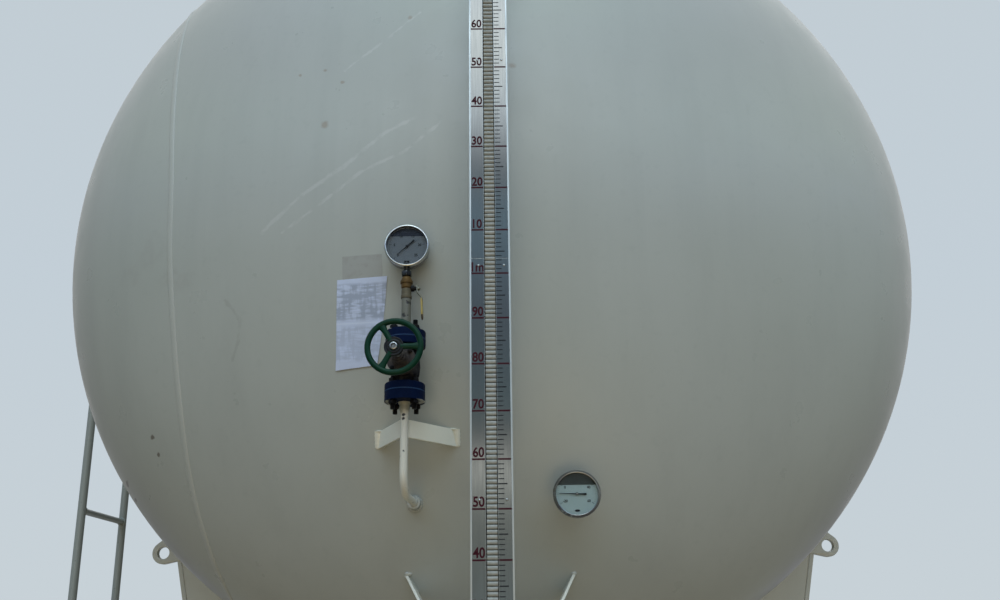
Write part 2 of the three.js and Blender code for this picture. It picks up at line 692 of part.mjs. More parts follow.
// Rim, three raked spokes and hub, on the stem that turns with them
function addHandwheel(valve) {
  const rim = new THREE.TorusGeometry(WHEEL_RADIUS - WHEEL_RIM, WHEEL_RIM, 8, 36);
  rim.rotateX(Math.PI / 2).translate(0, -WHEEL_DISTANCE, 0);
  const hubBack = -WHEEL_DISTANCE - WHEEL_HUB.back;
  const hubFront = -WHEEL_DISTANCE - WHEEL_HUB.front;
  const hub = turned(
    [[0, hubBack], [WHEEL_HUB.radius, hubBack], [WHEEL_HUB.radius * 0.8, hubFront], [0, hubFront]],
    16,
  );
  const spokes = [0, 1, 2].map((index) => {
    const angle = (index * 2 * Math.PI) / 3;
    const direction = new THREE.Vector3(Math.cos(angle), 0, Math.sin(angle));
    const inner = direction.clone().multiplyScalar(WHEEL_HUB.radius * 0.6);
    inner.y = (hubBack + hubFront) / 2;
    const outer = direction.clone().multiplyScalar(WHEEL_RADIUS - WHEEL_RIM);
    outer.y = -WHEEL_DISTANCE;
    return rod(SPOKE_RADIUS, inner, outer, 8);
  });
  piece(valve, 'handwheel', join(solid(rim), hub, ...spokes), GREEN);

  const stem = turned(
    [
      [0, -BONNET_LENGTH - GAP],
      [6, -BONNET_LENGTH - GAP],
      [6, hubBack + GAP],
      [0, hubBack + GAP],
    ],
    12,
  );
  piece(valve, 'globe_valve_stem', stem, STEEL);
}

// Brass body with a stem to its right, and the cranked lever that hangs from it
function addBallValve(tank) {
  const [bottom, top] = BALL_VALVE_Z;
  const body = turnedUpright(
    [
      [0, bottom],
      [14, bottom],
      [14, bottom + 8],
      [12, bottom + 12],
      [13, bottom + 20],
      [15, top - 18],
      [15, top - 14],
      [12, top - 8],
      [10, top],
      [0, top],
    ],
    12,
    LINE_X,
    LINE_Y,
  );
  const stem = rod(
    5,
    new THREE.Vector3(LINE_X, LINE_Y, LEVER_Z),
    new THREE.Vector3(LINE_X + LEVER_X - GAP, LINE_Y, LEVER_Z),
    12,
  );
  piece(tank, 'ball_valve', join(body, stem), BRASS);

  const halfWidth = 6;
  const strip = 2.5;
  const crank = 11;
  const x0 = LINE_X + LEVER_X;
  const outline = polygon([
    [x0, LEVER_Z + 7],
    [x0 + strip, LEVER_Z + 7],
    [x0 + strip, LEVER_Z - 8],
    [x0 + strip + crank, LEVER_Z - 22],
    [x0 + strip + crank + 2, LEVER_Z - 74],
    [x0 + crank - 2, LEVER_Z - 74],
    [x0 + crank - 1, LEVER_Z - 24],
    [x0, LEVER_Z - 10],
  ]);
  const lever = uprightPlate(outline, halfWidth * 2, LINE_Y);
  const nut = rod(
    5.5,
    new THREE.Vector3(x0 + strip / 2, LINE_Y, LEVER_Z),
    new THREE.Vector3(x0 + strip + 6, LINE_Y, LEVER_Z),
    6,
  );
  piece(tank, 'ball_valve_lever', join(lever, nut), YELLOW);
}

// Dial on a pocket in the head
function addThermometer(tank, shell) {
  const { x, z, radius, front, depth } = THERMOMETER;
  const bossFront = headSurfaceY(x, z) - THERMOMETER_BOSS.length;
  const boss = rod(
    THERMOMETER_BOSS.radius,
    new THREE.Vector3(x, bossFront, z),
    new THREE.Vector3(x, 0, z),
    12,
  );
  piece(tank, 'thermometer_boss', boss.subtract(shell), CREAM);
  const dial = turned(
    [
      [0, front],
      [radius, front],
      [radius, front + 7],
      [radius - 3, front + depth],
      [7, front + depth],
      [7, bossFront - GAP],
      [0, bossFront - GAP],
    ],
    32,
  );
  piece(tank, 'thermometer', dial.translate([x, 0, z]), STEEL);
}

// Paper that follows the head's curve
function addSheet(tank) {
  const outline = uprightPlate(polygon(SHEET_CORNERS), HEAD_DEPTH, -HEAD_DEPTH / 2 - TANK_RADIUS / 10);
  const skin = shellInside(GAP + SHEET_THICKNESS).subtract(shellInside(GAP));
  piece(tank, 'inspection_sheet', skin.intersect(outline), PAPER);
}

// Manhole and relief valve along the top of the shell
function addTopFittings(tank, barrel) {
  const { y, neckRadius, radius, rise, flange, cover } = MANHOLE;
  const flangeBottom = TANK_RADIUS + rise;
  const flangeTop = flangeBottom + flange;
  const neck = turnedUpright(
    [
      [0, TANK_RADIUS - rise],
      [neckRadius, TANK_RADIUS - rise],
      [neckRadius, flangeBottom],
      [radius, flangeBottom],
      [radius, flangeTop],
      [0, flangeTop],
    ],
    32,
    0,
    y,
  );
  piece(tank, 'manhole_neck', neck.subtract(barrel), CREAM);
  piece(tank, 'manhole_cover', post(radius, 0, y, flangeTop + GAP, flangeTop + GAP + cover, 32), CREAM);

  const valve = RELIEF_VALVE;
  const base = TANK_RADIUS + 110;
  const body = turnedUpright(
    [
      [0, TANK_RADIUS - valve.neckRadius],
      [valve.neckRadius, TANK_RADIUS - valve.neckRadius],
      [valve.neckRadius, base],
      [valve.flangeRadius, base],
      [valve.flangeRadius, base + 48],
      [valve.neckRadius, base + 48],
      [valve.bodyRadius, base + 80],
      [valve.bodyRadius, base + 210],
      [valve.neckRadius, base + 235],
      [valve.neckRadius, base + 330],
      [0, base + 330],
    ],
    24,
    0,
    valve.y,
  );
  piece(tank, 'relief_valve', body.subtract(barrel), CREAM);
}

const site = new THREE.Group();
const tank = new THREE.Group();
tank.position.set(0, -SADDLE_SETBACK, AXIS_HEIGHT);
site.add(tank);

const shell = shellInside(GAP);
addShell(tank);
addSaddle(tank, 'front', SADDLE_SETBACK, false);
addSaddle(tank, 'rear', TANGENT_LENGTH - SADDLE_SETBACK, true);
addLadder(tank, shell);
addLevelGauge(tank, shell);
addPressureLine(tank, shell);
addThermometer(tank, shell);
addSheet(tank);
addTopFittings(tank, shell);

export default site;
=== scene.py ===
"""Looks for the horizontal gas tank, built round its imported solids. Metres, +Z up."""

from math import asin, cos, pi, radians, sin, sqrt

import bpy
from mathutils import Matrix, Vector
from mathutils.geometry import tessellate_polygon


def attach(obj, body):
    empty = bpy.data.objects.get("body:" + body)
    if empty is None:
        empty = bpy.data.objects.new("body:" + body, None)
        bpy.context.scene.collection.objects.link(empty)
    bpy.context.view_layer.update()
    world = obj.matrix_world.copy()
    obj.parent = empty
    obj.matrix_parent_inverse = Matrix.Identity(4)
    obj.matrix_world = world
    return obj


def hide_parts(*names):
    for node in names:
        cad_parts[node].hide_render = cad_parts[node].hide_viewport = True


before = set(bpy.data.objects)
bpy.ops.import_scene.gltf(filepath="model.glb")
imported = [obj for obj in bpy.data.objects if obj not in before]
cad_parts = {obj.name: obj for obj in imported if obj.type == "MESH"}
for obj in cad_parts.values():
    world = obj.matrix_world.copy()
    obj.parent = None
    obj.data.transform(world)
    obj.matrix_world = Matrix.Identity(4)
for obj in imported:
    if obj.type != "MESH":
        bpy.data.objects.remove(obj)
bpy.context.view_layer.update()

TINY = 1e-7
UP = Vector((0, 0, 1))
TO_REAR = Vector((0, 1, 0))

# Shell: the axis height, the front head's tangent line and the girth joints
AXIS_Z = 1.700
TANGENT_Y = -0.325
JOINTS_Y = (-0.285, 2.175, 4.635)
SHELL_RADIUS = 1.2478
HEAD_DEPTH = SHELL_RADIUS / 2
WALL = 0.014
SHELL_SIDES = 192
LENGTHWISE_SEAMS = ((JOINTS_Y[0], JOINTS_Y[1], 38), (JOINTS_Y[1], JOINTS_Y[2], 142))

# What stands at the front end stands at the rear end too, turned half round
BEHIND = Matrix.Translation((0, 4.35, 0)) @ Matrix.Rotation(pi, 4, "Z")

# Front saddle and its lifting lugs
WEAR_OUTSIDE = 1.2623
WEAR_HALF_WIDTH = 0.140
WEAR_HALF_ANGLE = radians(60)
WEB_HALF = 0.008
BASE_TOP = 0.020
HORN = (1.007, 0.837)
BASE_X = 0.831
LUG_EYE = (1.053, 0.863)
LUG_RADIUS = 0.035
LUG_HOLE = 0.019
LUG_THICKNESS = 0.020

# Ladder
RAIL_X = -1.450
RAIL_YS = (0.257, 0.607)
RAIL_RADIUS = 0.014
RUNG_RADIUS = 0.011
RUNG_ZS = [0.355 + 0.34 * step for step in range(7)]
RAIL_TOP_Z = 2.600
RAIL_BEND = 0.140

# Level gauge
GAUGE_FRONT_Y = -1.115
GAUGE_BACK_Y = -1.099
SCALE_ZERO_Z = 0.349
SCALE_LENGTH = 2.5
GAUGE_LOW_Z = 0.319
GAUGE_HIGH_Z = 2.879
FRAME_HALF = 0.043
LIP = 0.0032
SLOT_FLOOR = 0.0045
SLOT_HALF = 0.0123
PLATE_Y = -1.1136
CHAMBER_Y = -1.0607
CHAMBER_RADIUS = 0.03015
CHAMBER_LOW_Z = 0.223
CHAMBER_HIGH_Z = 2.975
END_FLANGE = (0.0575, 0.036)
RING_RADIUS = 0.038
RING_ZS = (2.700, 1.950, 1.200)
CLAMP_Z = 0.456
STRUT_FEET = ((-0.193, -0.711, 0.719), (0.177, -0.711, 0.719))
STRUT_WIDTH = 0.050
STRUT_BLOBS = ((-0.204, 0.748, 0.0095, 0.0055), (0.190, 0.7445, 0.0065, 0.0065))
BRANCH_ZS = (2.800, 0.600)
BRANCH_RADIUS = 0.01685
BRANCH_FLANGE = (0.808, 0.842)

# Gauge line
LINE_X = -0.192
LINE_Y = -0.970
BOSS_X = -0.183
BOSS_Z = 0.903
PIPE_RADIUS = 0.00875
NECK_RADIUS = 0.0115
NECK_LOW_Z = 1.078
FLANGE_RADIUS = 0.045
STUD_CIRCLE = 0.0335
LOWER_PAIR_Z = (1.104, 1.127, 1.145)
UPPER_PAIR_Z = (1.230, 1.248, 1.267)
VALVE_Z = 1.186
BALL_VALVE_Z = (1.347, 1.401)
LEVER_X = -0.169
LEVER_Z = 1.372
LEVER_HALF = 0.006
GAUGE_Z = 1.473
BRACKET_Z = (1.027, 1.067)

# Thermometer
THERMOMETER = Vector((0.189, -0.890, 0.910))
THERMOMETER_RADIUS = 0.054
THERMOMETER_BOSS_Y = -0.831

# Sheet and tape: corners as x and z, from the upper left, clockwise
SHEET_CORNERS = ((-0.363, 1.420), (-0.243, 1.423), (-0.266, 1.216), (-0.365, 1.208))
TAPE_CORNERS = ((-0.352, 1.4765), (-0.256, 1.4775), (-0.254, 1.410), (-0.350, 1.408))

# Welds: width and height of the beads, radius of the fillets
SEAM_BEAD = (0.018, 0.0020)
HEAD_SEAM_BEAD = (0.017, 0.0024)
FILLET = 0.0055
FLUSH_FILLET = 0.0022

# Fasteners: stud radius, width of the nut across its flats, thickness of the nut
GAUGE_BOLT = (0.005, 0.016, 0.008)
LINE_BOLT = (0.0055, 0.0173, 0.0085)
MANHOLE_BOLT = (0.010, 0.030, 0.016)
RELIEF_BOLT = (0.008, 0.024, 0.0125)
BOLT_CIRCLE = 0.0445

# Scale print: the digits' height, half a decimetre line, length and half thickness of the ticks
DIGIT_HEIGHT = 0.0215
LINE_HALF = 0.0018
LONG_TICK = (0.0186, 0.0013)
SHORT_TICK = (0.0120, 0.0010)

# Handwheel: its plane along the stem, the middle of the rim and the rim's own radius
WHEEL_PLANE = 0.150
RIM_MIDDLE = 0.0556
RIM_RADIUS = 0.0064

# Top fittings
MANHOLE_Y = 1.275
MANHOLE_NECK = 0.255
MANHOLE_RADIUS = 0.350
MANHOLE_ZS = (3.100, 3.155, 3.205)
RELIEF_Y = 3.375
RELIEF_NECK = 0.045
RELIEF_FLANGE_Z = (3.060, 3.108)

# Marks on the front head, as x and z
HEAD_SEAM = (
    (-0.905, 2.480), (-0.872, 2.190), (-0.846, 1.960), (-0.822, 1.745), (-0.809, 1.537), (-0.795, 1.382),
    (-0.773, 1.146), (-0.754, 0.967), (-0.721, 0.797), (-0.702, 0.725), (-0.694, 0.690),
)
LONG_SCRATCH = ((-0.555, 1.558), (-0.461, 1.640), (-0.351, 1.711), (-0.255, 1.793), (-0.181, 1.831))
SECOND_SCRATCH = ((-0.503, 1.551), (-0.415, 1.612), (-0.313, 1.689), (-0.204, 1.740), (-0.120, 1.813))
UPPER_SCRATCH = ((-0.364, 1.988), (-0.264, 2.073), (-0.177, 2.161))
LEFT_SCRAPE = ((-0.647, 1.399), (-0.606, 1.346), (-0.611, 1.298), (-0.626, 1.253))
RUBS = ((-0.870, 1.563, 0.05), (-0.789, 1.469, 0.05), (-0.931, 1.511, 0.04))
STAINS = ((0.058, 1.977, 0.012), (-0.408, 1.831, 0.012), (-0.416, 1.995, 0.007), (-0.369, 1.951, 0.006),
          (-0.482, 1.990, 0.006), (-0.202, 2.145, 0.008))
PIPE_CHIPS = ((-0.1933, 1.0752, 0.0045), (-0.1932, 1.0662, 0.0045), (-0.1920, 0.9941, 0.0028))
RISER_CHIPS = ((-0.1875, 1.3355, 0.0045), (-0.1815, 1.3345, 0.0045), (-0.1975, 1.3070, 0.0050),
               (-0.1955, 1.3030, 0.0045), (-0.1870, 1.3050, 0.0025))
CHIPS = ((-0.991, 1.010, 0.009), (-0.972, 0.967, 0.007), (-0.864, 1.098, 0.007), (-0.849, 1.056, 0.006))


# Meshes

class Form:
    """Points and faces gathered for one mesh."""

    def __init__(self, points=(), faces=()):
        self.points = [Vector(point) for point in points]
        self.faces = [tuple(face) for face in faces]

    def volume(self):
        """Six times the volume, negative where the faces point inwards."""
        total = 0.0
        for face in self.faces:
            first = self.points[face[0]]
            for second, third in zip(face[1:], face[2:]):
                total += first.dot(self.points[second].cross(self.points[third]))
        return total

    def outward(self):
        """Turns the faces outwards."""
        if self.volume() < 0:
            self.faces = [tuple(reversed(face)) for face in self.faces]
        return self

    def add(self, other, place=None):
        """Takes in another form, moved by a matrix."""
        start = len(self.points)
        place = place or Matrix()
        mirrored = place.determinant() < 0
        self.points += [place @ point for point in other.points]
        for face in other.faces:
            moved = [start + index for index in face]
            self.faces.append(tuple(reversed(moved)) if mirrored else tuple(moved))
        return self

    def moved(self, place):
        """A copy moved by a matrix."""
        return Form().add(self, place)


def at(x, y, z):
    """A matrix that moves by x, y and z."""
    return Matrix.Translation((x, y, z))


def turns(count):
    """Even angles once round a circle."""
    return [2 * pi * step / count for step in range(count)]


def bands(rows, count, closed):
    """Quads between rows of count points, where a row of one point is a tip."""
    faces = []
    starts = []
    total = 0
    for size in rows:
        starts.append(total)
        total += size
    pairs = list(zip(range(len(rows)), range(1, len(rows))))
    if closed:
        pairs.append((len(rows) - 1, 0))
    for low, high in pairs:
        for step in range(count):
            after = (step + 1) % count
            a, b = starts[low] + step, starts[low] + after
            c, d = starts[high] + after, starts[high] + step
            if rows[low] == 1 and rows[high] == 1:
                continue
            if rows[low] == 1:
                faces.append((starts[low], c, d))
            elif rows[high] == 1:
                faces.append((a, b, starts[high]))
            else:
                faces.append((a, b, c, d))
    return faces


def turned(profile, sides=64, shape=None):
    """A solid turned about Z, from pairs of radius and z. Off the axis, the profile closes on itself."""
    points = []
    rows = []
    for radius, z in profile:
        if radius < TINY:
            points.append((0, 0, z))
            rows.append(1)
            continue
        rows.append(sides)
        for angle in turns(sides):
            reach = shape(angle, radius, z) if shape else radius
            points.append((reach * cos(angle), reach * sin(angle), z))
    closed = profile[0][0] > TINY and profile[-1][0] > TINY
    return Form(points, bands(rows, sides, closed)).outward()


def softened(profile, size, steps=2):
    """A profile or outline whose inner corners are rounded off; its two ends stay."""
    result = [Vector(profile[0])]
    corners = [Vector(point) for point in profile]
    for before, corner, after in zip(corners, corners[1:], corners[2:]):
        back, on = before - corner, after - corner
        reach = min(size, back.length * 0.45, on.length * 0.45)
        if reach < TINY:
            result.append(corner)
            continue
        start = corner + back.normalized() * reach
        end = corner + on.normalized() * reach
        for step in range(steps + 1):
            t = step / steps
            result.append(start * (1 - t) ** 2 + corner * 2 * t * (1 - t) + end * t * t)
    result.append(corners[-1])
    return [tuple(point) for point in result]


def spun(profile, size, sides, steps=2):
    """A profile turned about Z with its corners rounded off."""
    return turned(softened(profile, size, steps), sides)


def post(radius, low, high):
    """The profile of a round post about Z."""
    return [(0, low), (radius, low), (radius, high), (0, high)]


def disc(radius, low, high, edge=0.001, sides=64):
    """A round disc about Z with softened edges."""
    return spun(post(radius, low, high), edge, sides)


def ring(inner, outer, low, high, edge=0.001, sides=64):
    """A flat ring about Z with chamfered edges."""
    profile = [
        (inner, low + edge), (inner + edge, low), (outer - edge, low), (outer, low + edge),
        (outer, high - edge), (outer - edge, high), (inner + edge, high), (inner, high - edge),
    ]
    return turned(profile, sides)


def hexagon(across):
    """The radius of a hexagonal nut at an angle, cut by the given radius."""
    def reach(angle, radius, _):
        turn = (angle + pi / 6) % (pi / 3) - pi / 6
        return min(radius, across / 2 / cos(turn))
    return reach


def nut(across, low, high):
    """A hexagonal nut about Z with chamfered corners."""
    corner = across / 2 / cos(pi / 6)
    chamfer = corner - across / 2
    profile = [
        (0, low), (across * 0.47, low), (corner, low + chamfer),
        (corner, high - chamfer), (across * 0.47, high), (0, high),
    ]
    return turned(profile, 36, hexagon(across))


def thread(radius, low, high, pitch=0.0015, sides=16):
    """A threaded rod about Z."""
    count = max(2, int((high - low) / pitch))
    profile = [(0, low)]
    for step in range(count):
        z = low + (high - low) * step / count
        profile += [(radius * 0.88, z), (radius, z + (high - low) / count / 2)]
    profile += [(radius * 0.88, high), (0, high)]
    return turned(profile, sides)


def swept(path, section, closed=False, ups=None, scales=None):
    """A closed section of pairs (across, up) carried along a path."""
    path = [Vector(point) for point in path]
    count = len(path)
    up = UP
    points = []
    for index, point in enumerate(path):
        before = path[index - 1] if closed or index else point
        after = path[(index + 1) % count] if closed or index < count - 1 else point
        tangent = (after - before).normalized()
        if ups is not None:
            up = Vector(ups[index])
        elif index == 0 and abs(tangent.z) > 0.9:
            up = TO_REAR
        side = tangent.cross(up).normalized()
        up = side.cross(tangent).normalized()
        wide, high = scales[index] if scales else (1, 1)
        points += [point + side * (x * wide) + up * (y * high) for x, y in section]
    size = len(section)
    faces = bands([size] * count, size, closed)
    if not closed:
        faces += [tuple(range(size)), tuple(range(len(points) - 1, len(points) - 1 - size, -1))]
    return Form(points, faces).outward()


def circle(radius, sides=16, flatten=1.0):
    """A round section."""
    return [(radius * cos(a), radius * flatten * sin(a)) for a in turns(sides)]


def tube(path, radius, sides=20, cut=0.0008):
    """A round bar along a path, its ends chamfered."""
    path = [Vector(point) for point in path]
    first = (path[1] - path[0]).normalized() * cut
    last = (path[-2] - path[-1]).normalized() * cut
    full = [path[0], path[0] + first] + path[1:-1] + [path[-1] + last, path[-1]]
    small = 1 - cut / radius
    scales = [(small, small)] + [(1, 1)] * (len(full) - 2) + [(small, small)]
    return swept(full, circle(radius, sides), scales=scales)


def bend(start, corner, end, steps=10):
    """A quarter bend between two points."""
    start, corner, end = Vector(start), Vector(corner), Vector(end)
    leaving, arriving = start.lerp(corner, 0.5523), end.lerp(corner, 0.5523)
    points = []
    for step in range(steps + 1):
        t = step / steps
        s = 1 - t
        points.append(start * s ** 3 + leaving * 3 * s * s * t + arriving * 3 * s * t * t + end * t ** 3)
    return points


def inset(outline, distance):
    """An outline moved into the material by a distance; holes run clockwise."""
    corners = [Vector(point) for point in outline]
    result = []
    for index, corner in enumerate(corners):
        before = (corner - corners[index - 1]).normalized()
        after = (corners[(index + 1) % len(corners)] - corner).normalized()
        first, second = Vector((-before.y, before.x)), Vector((-after.y, after.x))
        result.append(corner + (first + second) * (distance / max(0.2, 1 + first.dot(second))))
    return result


def plate(outlines, low, high, edge=0.0008):
    """A flat plate in X and Y between two heights, its edges chamfered. Further outlines are holes."""
    layers = ((low, edge), (low + edge, 0), (high - edge, 0), (high, edge))
    points, faces, rings = [], [], []
    for z, distance in layers:
        loops = [inset(outline, distance) for outline in outlines]
        rings.append(loops)
        points += [(point.x, point.y, z) for loop in loops for point in loop]
    per_layer = sum(len(outline) for outline in outlines)
    for layer in range(3):
        start = layer * per_layer
        for outline in outlines:
            size = len(outline)
            for step in range(size):
                after = (step + 1) % size
                faces.append((start + step, start + after, start + after + per_layer,
                              start + step + per_layer))
            start += size
    for layer in (0, 3):
        loops = [[point.to_3d() for point in loop] for loop in rings[layer]]
        for triangle in tessellate_polygon(loops):
            corners = [layer * per_layer + index for index in triangle]
            a, b, c = (Vector(points[index]) for index in corners)
            upward = (b - a).cross(c - a).z > 0
            if upward != (layer == 3):
                corners.reverse()
            faces.append(tuple(corners))
    return Form(points, faces).outward()


def block(low, high, edge=0.0008):
    """A chamfered block between its lowest and highest corners."""
    outline = ((low[0], low[1]), (high[0], low[1]), (high[0], high[1]), (low[0], high[1]))
    return plate([outline], low[2], high[2], edge)


def aim(origin, direction):
    """A matrix that takes +Z to a direction, with +Y as near to upright as can be."""
    z = Vector(direction).normalized()
    upright = UP if abs(z.z) < 0.95 else TO_REAR
    x = upright.cross(z).normalized()
    y = z.cross(x)
    turned_axes = Matrix((x, y, z)).transposed().to_4x4()
    return at(*origin) @ turned_axes


def between(start, end, steps):
    """Points at even distances from one point to another."""
    start, end = Vector(start), Vector(end)
    return [start.lerp(end, step / steps) for step in range(steps + 1)]


def about(origin, count, radius, first=0.0):
    """Places at even angles round Z."""
    origin = at(*origin)
    return [origin @ at(radius * cos(first + a), radius * sin(first + a), 0) for a in turns(count)]


def lettering(words, height, depth=0.0002, narrow=1.0, weight=0.0):
    """Plain characters of a given height, flat in X and Y, centred on x with their foot at y = 0."""
    curve = bpy.data.curves.new("lettering", "FONT")
    curve.body = words
    curve.size = 1.0
    curve.extrude = 0.05
    curve.offset = weight
    curve.resolution_u = 3
    text = bpy.data.objects.new("lettering", curve)
    bpy.context.scene.collection.objects.link(text)
    graph = bpy.context.evaluated_depsgraph_get()
    mesh = bpy.data.meshes.new_from_object(text.evaluated_get(graph), depsgraph=graph)
    spots = {}
    index_of = []
    for vertex in mesh.vertices:
        key = tuple(round(value, 4) for value in vertex.co)
        index_of.append(spots.setdefault(key, len(spots)))
    points = [Vector(key) for key in spots]
    faces = []
    for polygon in mesh.polygons:
        corners = [index_of[vertex] for vertex in polygon.vertices]
        if len(set(corners)) == len(corners):
            faces.append(tuple(corners))
    bpy.data.objects.remove(text)
    bpy.data.curves.remove(curve)
    bpy.data.meshes.remove(mesh)
    xs = [point.x for point in points]
    ys = [point.y for point in points]
    scale = height / (max(ys) - min(ys))
    middle = (max(xs) + min(xs)) / 2
    place = Matrix.Diagonal((scale * narrow, scale, depth / 0.1, 1))
    return Form(points, faces).moved(place @ at(-middle, -min(ys), 0))


def head_point(x, z, lift=0.0):
    """The point of the front head's outer surface at x and z."""
    radius, depth = SHELL_RADIUS + lift, HEAD_DEPTH + lift
    inward = min(1.0, (x * x + (z - AXIS_Z) ** 2) / radius ** 2)
    return Vector((x, TANGENT_Y - depth * sqrt(1 - inward), z))


def head_normal(x, z):
    """The outward direction of the front head at x and z."""
    point = head_point(x, z)
    slope = Vector((
        x / SHELL_RADIUS ** 2,
        (point.y - TANGENT_Y) / HEAD_DEPTH ** 2,
        (z - AXIS_Z) / SHELL_RADIUS ** 2,
    ))
    return slope.normalized()


def through(corners, steps=8):
    """A smooth curve through points."""
    corners = [Vector(corner) for corner in corners]
    padded = [corners[0] * 2 - corners[1]] + corners + [corners[-1] * 2 - corners[-2]]
    points = []
    for a, b, c, d in zip(padded, padded[1:], padded[2:], padded[3:]):
        for step in range(steps):
            t = step / steps
            points.append(0.5 * (2 * b + (c - a) * t + (2 * a - 5 * b + 4 * c - d) * t * t
                                 + (3 * b - a - 3 * c + d) * t ** 3))
    points.append(corners[-1])
    return points


def bead(path, ups, width, height, closed=False, lumps=0.0):
    """A weld bead that stands on a surface, sunk a little into it."""
    steps = 8
    section = [(width / 2 * cos(pi * step / steps), height * sin(pi * step / steps))
               for step in range(steps + 1)]
    section += [(-width / 2, -height), (width / 2, -height)]
    scales = [(1 + 0.4 * lumps * sin(index * 2.4), 1 + lumps * sin(index * 1.7) * cos(index * 0.6))
              for index in range(len(path))]
    return swept(path, section, closed, ups, scales)


def girth(y, radius, width, height):
    """A weld bead round the shell."""
    ups = [Vector((cos(a), 0, sin(a))) for a in turns(360)]
    return bead([Vector((0, y, AXIS_Z)) + up * radius for up in ups], ups, width, height, True)


def collar(x, z, radius, size=0.005, count=48):
    """A fillet weld round something that stands on the front head along Y."""
    spots = [(x + radius * cos(a), z + radius * sin(a)) for a in turns(count)]
    path = [head_point(*spot) for spot in spots]
    scales = [(1 + 0.16 * sin(step * 2.1), 1 + 0.16 * sin(step * 2.1)) for step in range(count)]
    return swept(path, circle(size, 10), True, [head_normal(*spot) for spot in spots], scales)


def saddle_arc(radius, half_angle, y, count=96):
    """Points and outward directions along an arc under the shell."""
    angles = [-pi / 2 - half_angle + 2 * half_angle * step / count for step in range(count + 1)]
    ups = [Vector((cos(a), 0, sin(a))) for a in angles]
    return [Vector((0, y, AXIS_Z)) + up * radius for up in ups], ups


# Materials

def wired(tree, kind, inputs=None, **settings):
    """A node of a tree, with its settings and its inputs, each a value or another node's output."""
    made = tree.nodes.new(kind)
    for key, value in settings.items():
        setattr(made, key, value)
    for key, value in (inputs or {}).items():
        plug(tree, made.inputs[key], value)
    return made


def plug(tree, socket, value):
    """Links an output to a socket, or sets the socket's own value."""
    if isinstance(value, bpy.types.NodeSocket):
        tree.links.new(value, socket)
    elif socket.type == "RGBA":
        socket.default_value = tuple(value)[:3] + (1.0,)
    else:
        socket.default_value = value


def shade(colour, share):
    """A colour made darker, down to a share of itself."""
    return [value * share for value in colour]


class Shader:
    """A procedural material, worked out in metres in the piece's own coordinates."""

    def __init__(self, name, slot, colour, rough=0.4, metal=0.0, **inputs):
        self.slot = slot
        self.material = bpy.data.materials.new(name)
        self.material.use_nodes = True
        self.tree = self.material.node_tree
        self.surface = self.tree.nodes["Principled BSDF"]
        self.place = self.node("ShaderNodeTexCoord").outputs["Object"]
        self.set("Base Color", colour)
        self.set("Roughness", rough)
        self.set("Metallic", metal)
        for name_of, value in inputs.items():
            self.set(name_of.replace("_", " ").title(), value)

    def node(self, kind, inputs=None, **settings):
        return wired(self.tree, kind, inputs, **settings)

    def set(self, name, value):
        plug(self.tree, self.surface.inputs[name], value)

    def base(self):
        """What the base colour is linked to."""
        return self.surface.inputs["Base Color"].links[0].from_socket

    def noise(self, scale, detail=3.0, stretch=(1, 1, 1), rough=0.5):
        """Noise with a number of waves a metre, stretched along the axes."""
        mapping = self.node("ShaderNodeMapping", {"Vector": self.place, "Scale": stretch})
        inputs = {"Vector": mapping.outputs[0], "Scale": scale, "Detail": detail, "Roughness": rough}
        return self.node("ShaderNodeTexNoise", inputs).outputs[0]

    def span(self, value, low, high, start=0.0, end=1.0):
        """The value moved from one range to another, held at its ends."""
        inputs = {"Value": value, "From Min": low, "From Max": high, "To Min": start, "To Max": end}
        return self.node("ShaderNodeMapRange", inputs).outputs[0]

    def ragged(self, scale, detail, reach, low=0.2, high=0.8):
        """Noise between minus and plus a reach."""
        return self.span(self.noise(scale, detail), low, high, -reach, reach)

    def maths(self, operation, first, second=0.0, clamp=False):
        inputs = {0: first, 1: second}
        return self.node("ShaderNodeMath", inputs, operation=operation, use_clamp=clamp).outputs[0]

    def times(self, first, second):
        return self.maths("MULTIPLY", first, second)

    def most(self, first, second):
        return self.maths("MAXIMUM", first, second)

    def mix(self, factor, first, second):
        inputs = {0: factor, 6: first, 7: second}
        return self.node("ShaderNodeMix", inputs, data_type="RGBA").outputs[2]

    def axis(self, name):
        return self.node("ShaderNodeSeparateXYZ", {0: self.place}).outputs[name]

    def vector(self, operation, first, second, output="Vector"):
        inputs = {0: first, "Scale" if operation == "SCALE" else 1: second}
        return self.node("ShaderNodeVectorMath", inputs, operation=operation).outputs[output]

    def bump(self, height, distance):
        """Adds a height map, in metres, to the bumps that are there."""
        made = self.node("ShaderNodeBump", {"Strength": 1.0, "Distance": distance, "Height": height})
        normal = self.surface.inputs["Normal"]
        if normal.is_linked:
            plug(self.tree, made.inputs["Normal"], normal.links[0].from_socket)
        self.set("Normal", made.outputs["Normal"])

    def near_line(self, corners, width, ragged):
        """1 on a line drawn through x and z, 0 away from it."""
        flat = self.vector("MULTIPLY", self.place, (1, 0, 1))
        nearest = None
        for start, end in zip(corners, corners[1:]):
            a, b = Vector((start[0], 0, start[1])), Vector((end[0], 0, end[1]))
            run = b - a
            from_start = self.vector("SUBTRACT", flat, tuple(a))
            along = self.vector("DOT_PRODUCT", from_start, tuple(run / run.length_squared), "Value")
            foot = self.vector("SCALE", tuple(run), self.maths("ADD", along, 0.0, clamp=True))
            distance = self.vector("DISTANCE", from_start, foot, "Value")
            nearest = self.maths("MINIMUM", nearest, distance) if nearest else distance
        return self.span(self.maths("ADD", nearest, ragged), width / 2, width / 4)

    def near_spots(self, spots, ragged):
        """1 on round spots given as x, z and radius, 0 away from them."""
        flat = self.vector("MULTIPLY", self.place, (1, 0, 1))
        total = None
        for x, z, radius in spots:
            distance = self.vector("DISTANCE", flat, (x, 0, z), "Value")
            here = self.span(self.maths("ADD", distance, ragged), radius, radius * 0.5)
            total = self.most(total, here) if total else here
        return total


